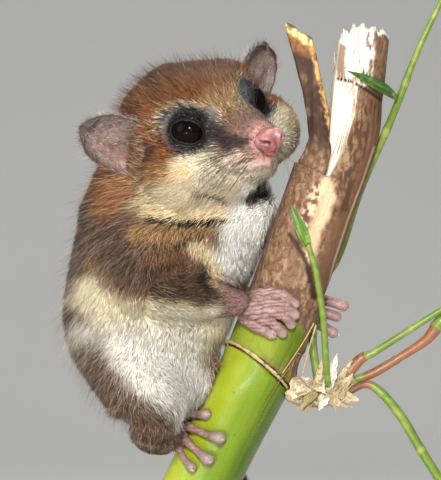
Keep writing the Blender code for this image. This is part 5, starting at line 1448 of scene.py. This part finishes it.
upper = grown_from(["culm_upper"], "culm_dry_part", voxel=0.29, rounds=2)
spot, wall, rho = round_off(places(upper.data), 0.36)
out = normals_of(upper.data)
middle = axis_all(spot)
height = (spot - NODE_AT) @ NODE_UP
fp = fibre_places(spot)
up_face = ramp(out[:, 2], 0.35, 0.75) * ramp(spot[:, 2], 128.0, 133.0)
torn = (1 - wall) * (1 - up_face) * ramp(spot[:, 2], 112.0, 114.0)
rib = mottled(fp * (1, 1, 0.6), 0.20, 71) * 0.10 + mottled(fp, 0.5, 72) * 0.10
spot = spot + out * (torn * rib)[:, None]
spot[:, 2] += up_face * (0.9 * mottled(fp * (1, 1, 0), 0.45, 73) + 0.5 * mottled(fp * (1, 1, 0), 0.16, 74))
paper = 0.05 * mottled(fp, 0.7, 75) * wall * ramp(height, 5.0, 8.0)
spot = spot + out * paper[:, None]
xz = from_front(spot)
loose = xz + 0.30 * np.stack([broken(spot, 1.4, 77), broken(spot, 1.4, 78)], 1)
ahead = ramp(-out[:, 1], 0.05, 0.35)
spots = broken(spot * (1, 1, 0.7), 0.85, 79)
long_spots = broken(spot * (1, 1, 0.22), 0.8, 80)
rightward = spot[:, 0] - middle[:, 0]
green = fade(height, 8.2, 9.8) * wall * ramp(-xz[:, 1] + 0.5 * spots, -89.6, -88.2)
green = green * ramp(-rightward + 1.2 * spots, -6.9, -6.0)
bloom = fade(height, 0.4, 2.6) * ramp(spots, -0.25, 0.25) * wall * ramp(xz[:, 0], 7.0, 13.0)
c = painted(
    light(127, 98, 75),
    ((166, 134, 105), ramp(long_spots, 0.0, 0.35) * 0.8),
    ((104, 72, 52), ramp(-spots, 0.10, 0.34) * 0.85),
    ((74, 50, 38), ramp(-broken(spot, 0.5, 81), 0.25, 0.5) * 0.7),
    ((112, 78, 56), near_marks(loose, 0.8, 3.0, (378, 96), (372, 130), (362, 165), (350, 200), (336, 240),
                               (322, 290)) * 0.8 * ahead),
    ((78, 52, 38), near_marks(loose, 1.0, 3.2, (370, 112), (358, 142), (347, 172), (340, 204))
        * fade(long_spots, -0.18, 0.05) * 0.9 * ahead),
    ((220, 190, 158), near_marks(loose, 0.5, 2.0, (318, 190), (309, 210), (303, 226))
        * ramp(spots, -0.10, 0.1) * ahead),
    ((224, 192, 156), near_marks(loose, 0.6, 1.8, (326, 184), (329, 198), (323, 214), (314, 232), (308, 258))
        * 0.9 * ahead),
    ((238, 228, 210), torn * (0.72 + 0.28 * ramp(mottled(fp, 0.3, 83), -0.6, 0.3))),
    ((206, 176, 138), torn * ramp(mottled(fp, 0.35, 84), 0.45, 1.0) * 0.6),
    ((250, 242, 226), up_face * 0.9),
    ((240, 232, 218), near_marks(loose, 2.2, 2.9, (361, 20), (361, 50), (358, 74))
        * fade(long_spots, 0.1, 0.4) * ahead),
    ((118, 82, 54), near_marks(loose, 0.5, 1.1, (341, 48), (341, 76)) * 0.85 * ahead),
    # Partly a crack and partly painted shadow of the long leaf: a dark line across the top.
    ((44, 28, 20), near_marks(xz, 0.16, 0.45, (338, 79), (352, 82), (368, 91), (383, 102)) * ahead),
    # Painted shadow of the upright shoot: a dark brown line down the sheath.
    ((52, 32, 24), near_marks(loose, 0.25, 0.75, (290, 235), (299, 249), (307, 264), (314, 297))
        * 0.95 * ahead),
    ((190, 166, 136), near_marks(xz, 0.06, 0.26, (374, 147), (361, 185), (348, 219), (334, 262), (325, 298))
        * 0.8 * ramp(-out[:, 1], 0.12, 0.25)),
    ((132, 146, 40), green),
    # Painted shade: the green part darker towards its right.
    ((92, 112, 22), green * ramp(rightward, 0.0, 4.5)),
    ((104, 92, 66), bloom * 0.8))
stained(upper, spot, c * (1 + 0.06 * mottled(fp, 0.25, 88))[:, None])
along_grain(upper, fp)
husk_mat = shader("husk", 0.70, 0.25)
threads = noise(husk_mat, 2600.0, 5.0, 0.62, along=True)
mould = step(husk_mat, noise(husk_mat, 1300.0, 5.0, 0.68), 0.56, 0.66)
tone = blend(husk_mat, step(husk_mat, threads, 0.50, 0.70), stain(husk_mat), (0.13, 0.070, 0.040, 1), 0.30)
coloured(husk_mat, blend(husk_mat, mould, tone, (0.07, 0.036, 0.022, 1), 0.20))
bumped(husk_mat, threads, distance=0.00020, strength=0.9)
finish(upper, husk_mat, "culm_dry", "culm_upper")
draw = np.random.default_rng(90)
fibres, fibre_tones = [], []
for k in range(120):
    a = draw.uniform(0, 2 * math.pi)
    rho_at = 6.3 * math.sqrt(draw.uniform(0.02, 0.92))
    z = draw.uniform(134.5, 138.5)
    mid, way = axis_at(z)
    at = mid + np.array((math.cos(a) * rho_at, math.sin(a) * rho_at, 0))
    if at[0] < mid[0] - 2.6 or (at[0] < mid[0] and at[1] < mid[1] - 1.5):
        continue
    go = way + draw.normal(0, 0.12, 3)
    long = draw.uniform(0.8, 2.4)
    wide = draw.uniform(0.07, 0.20)
    fibres.append(sliver([at - go * 1.5, at + go * long * 0.5, at + go * long],
                         (wide, wide * 0.8, 0.02), 4, 2))
    fibre_tones.append(light(246, 236, 216) * draw.uniform(0.6, 1.0))
for k in range(44):
    z0 = draw.uniform(116.0, 130.0)
    x = axis_at(z0)[0][0] + draw.uniform(-1.6, 1.4)
    p0 = np.array((x, torn_face(x, z0) - 0.1, z0))
    z1 = z0 + draw.uniform(2.5, 6.0)
    x1 = x + (axis_at(z1)[0][0] - axis_at(z0)[0][0]) + draw.normal(0, 0.2)
    p1 = np.array((x1, torn_face(x1, z1) - draw.uniform(0.2, 0.7), z1))
    wide = draw.uniform(0.05, 0.13)
    fibres.append(sliver([p0, (p0 + p1) / 2 - (0, 0.1, 0), p1], (wide, wide, 0.02), 4, 3))
    fibre_tones.append(light(240, 222, 196) * draw.uniform(0.6, 1.0))
pith = mesh_from("pith_fibres", fibres, fibre_tones)
along_grain(pith, places(pith.data) * 1000)
finish(pith, dry_mat, "culm_dry")

# Splinter: a strip of the culm's wall that tore loose and leans away, dark and mottled on its
# rind, pale yellow along the broken right edge and the tip.
splinter = grown_from(["culm_splinter"], "splinter_strip", voxel=0.24, rounds=2)
spot = places(splinter.data)
out = normals_of(splinter.data)
grainy = spot * (1, 1, 0.10)
spot = spot + out * (0.05 * mottled(grainy, 0.30, 91) + 0.07 * mottled(spot, 1.0, 92))[:, None]
over_end = (from_front(spot) - seen((300, 160))[0]) @ np.array((0.484, 0.875))
spot = spot - np.outer(fade(over_end, 0.5, 2.4) * 0.62, (0.484, 0.0, 0.875))
xz = from_front(spot) + 0.25 * np.stack([mottled(spot, 0.6, 93), mottled(spot, 0.6, 94)], 1)
rooted = fade(over_end, 0.5, 6.0)
c = painted(
    light(64, 45, 35),
    ((126, 98, 74), ramp(mottled(grainy * (1, 1, 3), 0.6, 95), 0.2, 0.9) * 0.8),
    ((62, 42, 34), ramp(mottled(spot, 0.5, 96), 0.3, 0.9) * 0.8),
    ((200, 160, 104), near_marks(xz, 0.25, 0.62, (311, 43), (316, 66), (324, 99), (330, 125), (333, 145))),
    ((170, 116, 60), near_marks(xz, 0.9, 2.0, (288, 36), (310, 50)) * 0.6),
    ((218, 200, 138), near_marks(xz, 0.4, 1.0, (284, 27), (296, 33), (309, 42)) * 0.9),
    ((127, 98, 75), rooted * 0.8),
    ((166, 134, 105), rooted * ramp(broken(spot, 0.9, 98), 0.0, 0.3) * 0.8),
    ((84, 56, 42), ramp(-broken(spot * (1, 1, 0.7), 0.85, 79), 0.10, 0.34) * 0.7))
stained(splinter, spot, c)
along_grain(splinter, grainy * (1, 1, 0.6))
finish(splinter, husk_mat, "culm_dry", "culm_splinter")

# Branch base: the knuckle at the node where the side shoots leave, wrapped in dry papery bracts
# that are torn and curled, cream outside and brown at their edges.


def blade_rows(root, tip, wide, bend, twist, thick, rows, cols, curl, ragged, seed, face=(0, -1, 0.2)):
    """Points and faces of a thin closed blade that bends, twists and curls across."""
    draw = np.random.default_rng(seed)
    root, tip, face = np.array(root, float), np.array(tip, float), np.array(face, float)
    along = tip - root
    side = way_of(np.cross(along, face))
    up = way_of(np.cross(side, along))
    phase = draw.uniform(0, 6.3, 4)
    tops, lows = [], []
    for i in range(rows + 1):
        t = i / rows
        w = wide / 2 * (math.sin(math.pi * min(1.0, 0.10 + 0.90 * t) ** 0.75) + 0.02)
        w = w * (1 + ragged * (math.sin(t * 19 + phase[0]) + 0.6 * math.sin(t * 41 + phase[1])) * t)
        turn = twist * t
        s_way = side * math.cos(turn) + up * math.sin(turn)
        n_way = up * math.cos(turn) - side * math.sin(turn)
        mid = root + along * t + up * bend * math.sin(math.pi * t) * 0.7
        for j in range(cols + 1):
            c = -1 + 2 * j / cols
            p = mid + s_way * w * c + n_way * (curl * w * c * c + 0.05 * w * math.sin(9 * c + phase[2]))
            p = p - n_way * 0.12 * w * math.exp(-(c / 0.10) ** 2)
            tops.append(p + n_way * thick / 2)
            lows.append(p - n_way * thick / 2)
    count = (rows + 1) * (cols + 1)
    grid = np.arange(count).reshape(rows + 1, cols + 1)
    faces = []
    for i in range(rows):
        for j in range(cols):
            a, b, c, d = grid[i, j], grid[i, j + 1], grid[i + 1, j + 1], grid[i + 1, j]
            faces.append((a, b, c, d))
            faces.append((a + count, d + count, c + count, b + count))
    rim = [grid[0, j] for j in range(cols + 1)] + [grid[i, cols] for i in range(1, rows + 1)]
    rim += [grid[rows, j] for j in range(cols - 1, -1, -1)] + [grid[i, 0] for i in range(rows - 1, 0, -1)]
    for a, b in zip(rim, rim[1:] + rim[:1]):
        faces.append((b, a, a + count, b + count))
    return np.array(tops + lows), faces


knot = grown_from(["branch_base"], "branch_knot", voxel=0.20, rounds=2)
spot = places(knot.data)
out = normals_of(knot.data)
spot = spot + out * (0.10 * mottled(spot, 0.45, 101) + 0.05 * mottled(spot, 0.18, 102))[:, None]
c = painted(
    light(214, 190, 150),
    ((132, 128, 56), ramp(mottled(spot, 1.3, 103), 0.3, 0.9) * 0.7),
    ((104, 74, 50), ramp(mottled(spot, 0.5, 104), 0.4, 0.9) * 0.85),
    ((232, 220, 194), ramp(mottled(spot, 0.7, 105), 0.3, 0.9) * 0.8))
stained(knot, spot, c)
along_grain(knot, spot * (1, 1, 0.3))
finish(knot, dry_mat, "scar_cork", "branch_base")
draw = np.random.default_rng(110)
sheets, sheet_tones = [], []
BRACTS = [((22.8, -4.6, 76.6), (24.6, -6.4, 83.4), 3.0), ((25.4, -3.6, 76.4), (28.0, -4.6, 80.2), 2.6),
          ((19.6, -5.0, 77.2), (15.8, -7.4, 74.6), 3.2), ((20.8, -5.4, 76.4), (17.4, -7.6, 72.4), 2.6),
          ((22.6, -5.2, 75.8), (21.0, -7.0, 72.6), 2.8), ((25.0, -4.6, 75.8), (29.6, -5.4, 74.6), 2.4),
          ((19.8, -4.6, 77.8), (17.8, -7.2, 79.4), 2.2), ((26.2, -3.2, 77.2), (30.8, -4.2, 77.6), 2.2),
          ((25.4, -2.2, 77.2), (28.0, 0.6, 80.6), 2.4), ((23.2, -1.2, 76.0), (24.2, 1.4, 72.6), 2.4),
          ((21.4, -5.4, 77.4), (22.6, -7.6, 76.0), 3.0), ((18.8, -5.4, 75.6), (16.6, -7.6, 76.4), 2.2)]
BRACT_TONES = [(226, 222, 206), (206, 186, 150), (222, 208, 180), (158, 144, 96)]
for k, (root, tip, wide) in enumerate(BRACTS):
    root = np.array(root)
    tip = root + (np.array(tip) - root) * (1.0 if k == 0 else 0.85)
    bend, twist = draw.uniform(0.3, 0.7), draw.uniform(-0.9, 0.9)
    sheets.append(blade_rows(root, tip, wide * 0.66, bend, twist, 0.09, 16, 10, curl=draw.uniform(0.3, 0.8),
                             ragged=0.26, seed=int(draw.integers(1e6))))
    sheet_tones.append(light(*BRACT_TONES[k % 4]))
for k in range(110):
    at = np.array((draw.uniform(17.5, 26.5), -4.8 - draw.uniform(0, 1.2), draw.uniform(74.0, 78.4)))
    go = way_of(np.array((draw.normal(0, 0.8), -draw.uniform(0.1, 0.6), draw.normal(0, 0.8))))
    long = draw.uniform(0.9, 2.6)
    sheets.append(sliver([at - go * 0.5, at + go * long * 0.5, at + go * long + (0, 0, -0.2)],
                         (0.09, 0.06, 0.015), 4, 3))
    sheet_tones.append(light(226, 206, 170) * draw.uniform(0.5, 1.05))
bracts = mesh_from("bracts", sheets, sheet_tones)
along_grain(bracts, places(bracts.data) * 1000 * (1, 1, 0.15))
bract_mat = shader("bract", 0.66, 0.35, soft=(0.2, (1.0, 0.7, 0.4), 0.0006))
threads = noise(bract_mat, 3200.0, 4.0, 0.6, along=True)
blotch = step(bract_mat, noise(bract_mat, 900.0, 4.0, 0.6), 0.55, 0.66)
tone = blend(bract_mat, step(bract_mat, threads, 0.45, 0.65), stain(bract_mat), (0.24, 0.13, 0.06, 1), 0.35)
coloured(bract_mat, blend(bract_mat, blotch, tone, (0.13, 0.07, 0.035, 1), 0.45))
bumped(bract_mat, threads, distance=0.00015, strength=0.8)
finish(bracts, bract_mat, "scar_cork")

# Shoots: young side branches, solid and jointed, bright green with reddish brown sheaths near
# the node, each swelling a little at its joints.
shoot_mat = shader("shoot", 0.38, 0.45, soft=(0.2, (0.5, 1.0, 0.2), 0.0006))
lines = noise(shoot_mat, 3000.0, 3.0, 0.55, along=True)
dark_lines = step(shoot_mat, lines, 0.4, 0.7)
coloured(shoot_mat, blend(shoot_mat, dark_lines, stain(shoot_mat), (0.055, 0.11, 0.008, 1), 0.30))
bumped(shoot_mat, lines, distance=0.00007, strength=0.7)
SHOOTS = {
    "shoot_up": [(23.0, -5.2, 77.6, 0.6), (22.5, -7.6, 82.0, 0.62), (21.9, -9.2, 90.0, 0.6),
                 (20.6, -11.0, 98.0, 0.55), (19.7, -11.9, 101.0, 0.5), (19.2, -12.4, 102.8, 0.4)],
    "stem_long": [(21.4, 0.6, 78.2, 0.8), (20.6, 3.0, 86.0, 0.8), (22.2, 3.6, 95.0, 0.78),
                  (25.6, 2.6, 101.5, 0.76), (29.1, -0.5, 112.7, 0.74), (33.6, -5.5, 123.6, 0.7),
                  (35.8, -9.0, 129.5, 0.66),
                  (38.4, -10.5, 136.6, 0.58), (42.4, -11.5, 145.3, 0.45), (43.2, -11.8, 147.0, 0.35)],
    "shoot_right_upper": [(26.6, -3.4, 79.6, 1.15), (29.0, -3.6, 82.2, 0.95), (31.4, -3.8, 83.4, 0.68),
                          (38.0, -4.2, 87.6, 0.6), (46.0, -4.6, 92.7, 0.5)],
    "shoot_right_middle": [(28.0, -1.2, 78.2, 0.7), (31.6, -1.4, 79.6, 0.85), (36.6, -1.6, 82.6, 0.75),
                           (41.0, -1.8, 85.6, 0.95), (43.4, -1.8, 88.6, 1.25), (46.0, -1.8, 90.8, 1.2)],
    "shoot_lower_right": [(26.4, -4.6, 76.2, 0.6), (30.6, -5.4, 77.6, 0.75), (35.6, -5.8, 72.6, 0.85),
                          (39.6, -6.0, 66.0, 0.85), (45.6, -6.2, 56.5, 0.8)]}
SHEATHED = {"shoot_right_upper": (0.0, 0.34), "shoot_right_middle": (0.10, 0.72),
            "shoot_lower_right": (0.0, 0.25)}
JOINTED = {"stem_long": (0.30, 0.55, 0.70, 0.86), "shoot_up": (0.78,)}
for name, table in SHOOTS.items():
    rows = line_through(np.array(table), 14)
    t = np.linspace(0, 1, len(rows))
    joints = JOINTED.get(name, (0.35, 0.75))
    for j in joints:
        rows[:, 3] *= 1 + 0.16 * np.exp(-((t - j) / 0.012) ** 2)
    verts, quads = tube_rows(rows, 20, 1)
    run = np.concatenate([np.repeat(t, 20), [0.0, 1.0]])
    verts = verts + 0.02 * np.stack([mottled(verts, 0.4, 121)] * 3, 1)
    stem = mesh_piece(name + "_stalk", verts, quads)
    c = painted(light(106, 128, 44), ((140, 156, 78), ramp(mottled(verts, 2.0, 122), -0.2, 0.8) * 0.8))
    for j in joints:
        c = mixed(c, (168, 172, 100), np.exp(-((run - j) / 0.008) ** 2) * 0.6)
    if name in SHEATHED:
        start, end = SHEATHED[name]
        husk = ramp(run, start - 0.02, start + 0.03) * fade(run, end, end + 0.03)
        patchy = ramp(mottled(verts, 0.9, 123), 0.0, 0.8)
        c = painted(c, ((150, 96, 66), husk), ((112, 64, 50), husk * patchy))
    stained(stem, verts, c)
    along_grain(stem, verts * 0.3 + np.outer(run, (0, 0, 2.0)))
    finish(stem, shoot_mat, "shoot_green", name)

# Leaves: narrow bamboo blades with a keel along the middle and fine veins beside it.
leaf_mat = shader("leaf", 0.42, 0.45, soft=(0.3, (0.5, 1.0, 0.2), 0.0006))
veins = noise(leaf_mat, 2600.0, 3.0, 0.6, along=True)
pale_lines = step(leaf_mat, veins, 0.42, 0.62)
coloured(leaf_mat, blend(leaf_mat, pale_lines, stain(leaf_mat), (0.12, 0.22, 0.02, 1), 0.45))
bumped(leaf_mat, veins, distance=0.00008, strength=0.7)
for name, root, tip, wide, face, tone in (
        ("leaf_up", (19.2, -12.5, 102.6), (16.1, -12.5, 109.9), 2.0, (0, -1, 0), (70, 104, 26)),
        ("leaf_long", (35.0, -9.9, 128.6), (25.8, -15.6, 133.2), 2.2, (0.2, -0.8, 0.5), (52, 82, 44))):
    verts, quads = blade_rows(root, tip, wide, bend=0.6, twist=0.4, thick=0.16, rows=40, cols=12, curl=0.35,
                              ragged=0.02, seed=5, face=face)
    blade = mesh_piece(name + "_blade", verts, quads)
    patchy = ramp(mottled(verts, 1.0, 131), 0.3, 0.9)
    stained(blade, verts, painted(light(*tone), ((158, 176, 84), patchy * 0.5)))
    face_out(blade)
    along = way_of(np.array(tip) - np.array(root))
    along_grain(blade, verts - np.outer(verts @ along, along) * 0.94)
    finish(blade, leaf_mat, "shoot_green", name)

# Stand: a plain block of oiled walnut with eased edges, and two steel rods that hold the culm.
p = places(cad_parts["stand_base"].data)
corner_low, corner_high = p.min(axis=0), p.max(axis=0)
bm = bmesh.new()
m = Matrix.Diagonal(Vector(corner_high - corner_low)).to_4x4()
m.translation = Vector((corner_low + corner_high) / 2)
bmesh.ops.create_cube(bm, size=1.0, matrix=m)
block = bare_object("stand_block", bm)
edge = block.modifiers.new("edge", "BEVEL")
edge.width = 0.0009
edge.segments = 5
take_modifiers(block)
block.data.shade_smooth()
wood_mat = shader("walnut", 0.42, 0.4)
rings = noise(wood_mat, 60.0, 5.0, 0.6, squash=(0.18, 1.6, 2.4), bend=1.6)
pores = noise(wood_mat, 1500.0, 3.0, 0.6, squash=(0.05, 1, 1))
tone = blend(wood_mat, step(wood_mat, rings, 0.38, 0.62), (0.125, 0.062, 0.032, 1),
             (0.235, 0.130, 0.070, 1), 1.0)
coloured(wood_mat, blend(wood_mat, step(wood_mat, pores, 0.54, 0.62), tone, (0.055, 0.026, 0.014, 1), 0.6))
bumped(wood_mat, pores, distance=0.00006, strength=0.6)
rough_of(wood_mat, rings, 0.36, 0.52)
finish(block, wood_mat, "stand_wood", "stand_base")
steel_mat = shader("steel", 0.34, 0.5, more={"Metallic": 1.0, "Base Color": (0.56, 0.55, 0.53, 1)})
brushed = noise(steel_mat, 4200.0, 3.0, 0.6, squash=(1, 1, 0.02))
rough_of(steel_mat, brushed, 0.26, 0.44)
bumped(steel_mat, brushed, distance=0.00002, strength=0.5)
for name in ("stand_rod_low", "stand_rod_high"):
    p = places(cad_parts[name].data) * 1000
    mid = (p.min(axis=0) + p.max(axis=0)) / 2
    foot, top = p[:, 2].min(), p[:, 2].max()
    r = (p[:, 0].max() - p[:, 0].min()) / 2
    rows = [(mid[0], mid[1], z, r) for z in (foot, foot + 0.9, foot + 1.0, top - 0.5, top)]
    rod = mesh_piece(name + "_bar", *tube_rows(rows, 48, 1))
    rod.data.transform(Matrix.Scale(0.001, 4))
    rod.data.shade_smooth()
    finish(rod, steel_mat, "stand_metal", name)

# The room: a pale floor that turns up into a pale wall, and soft studio light.
bpy.ops.object.select_all(action="DESELECT")
bm = bmesh.new()
rows = [(-1.2, 0.0), (0.6, 0.0)]
for k in range(1, 13):
    a = math.pi / 2 * k / 12
    rows.append((0.6 + 0.5 * math.sin(a), 0.5 - 0.5 * math.cos(a)))
rows.append((1.1, 2.4))
last = None
for y, z in rows:
    pair = [bm.verts.new((x, y, z)) for x in (-2.5, 2.5)]
    if last:
        bm.faces.new((last[0], last[1], pair[1], pair[0]))
    last = pair
floor = bare_object("floor", bm)
floor.data.shade_smooth()
floor.data.materials.append(shader("floor", 0.9, 0.2, more={"Base Color": (0.74, 0.73, 0.70, 1)}))

world = bpy.data.worlds.new("studio")
bpy.context.scene.world = world
world.use_nodes = True
world.node_tree.nodes["Background"].inputs["Color"].default_value = (0.9, 0.95, 1.0, 1)
world.node_tree.nodes["Background"].inputs["Strength"].default_value = 0.22


def lamp(name, at, aim, size, power, tint=(1, 1, 1)):
    data = bpy.data.lights.new(name, "AREA")
    data.shape = "DISK"
    data.size = size
    data.energy = power
    data.color = tint
    obj = bpy.data.objects.new(name, data)
    bpy.context.scene.collection.objects.link(obj)
    obj.location = at
    obj.rotation_euler = (Vector(aim) - Vector(at)).to_track_quat("-Z", "Y").to_euler()


lamp("key", at=(-0.03, -0.66, 0.30), aim=(0, 0, 0.10), size=0.08, power=5.2, tint=(1.0, 0.98, 0.95))
lamp("fill", at=(-0.6, -0.30, 0.30), aim=(0, 0, 0.10), size=0.5, power=2.2)
lamp("glint", at=(0.03, -0.45, 0.15), aim=(0, 0, 0.12), size=0.012, power=0.20)
lamp("low", at=(-0.16, -0.42, 0.02), aim=(0, 0, 0.06), size=0.03, power=0.50)
lamp("top", at=(0.1, 0.25, 0.75), aim=(0, 0, 0.10), size=0.5, power=2.4)

camera = bpy.data.cameras.new("camera")
camera_obj = bpy.data.objects.new("camera", camera)
bpy.context.scene.collection.objects.link(camera_obj)
camera_obj.location = (VIEW_X / 1000, -VIEW_FAR / 1000, VIEW_Z / 1000)
camera_obj.rotation_euler = (math.radians(90), 0, 0)
camera.sensor_fit = "VERTICAL"
camera.angle = 2 * math.atan(HALF_VIEW / VIEW_FAR)
camera.clip_start = 0.01
bpy.context.scene.camera = camera_obj
bpy.context.scene.view_settings.view_transform = "Standard"
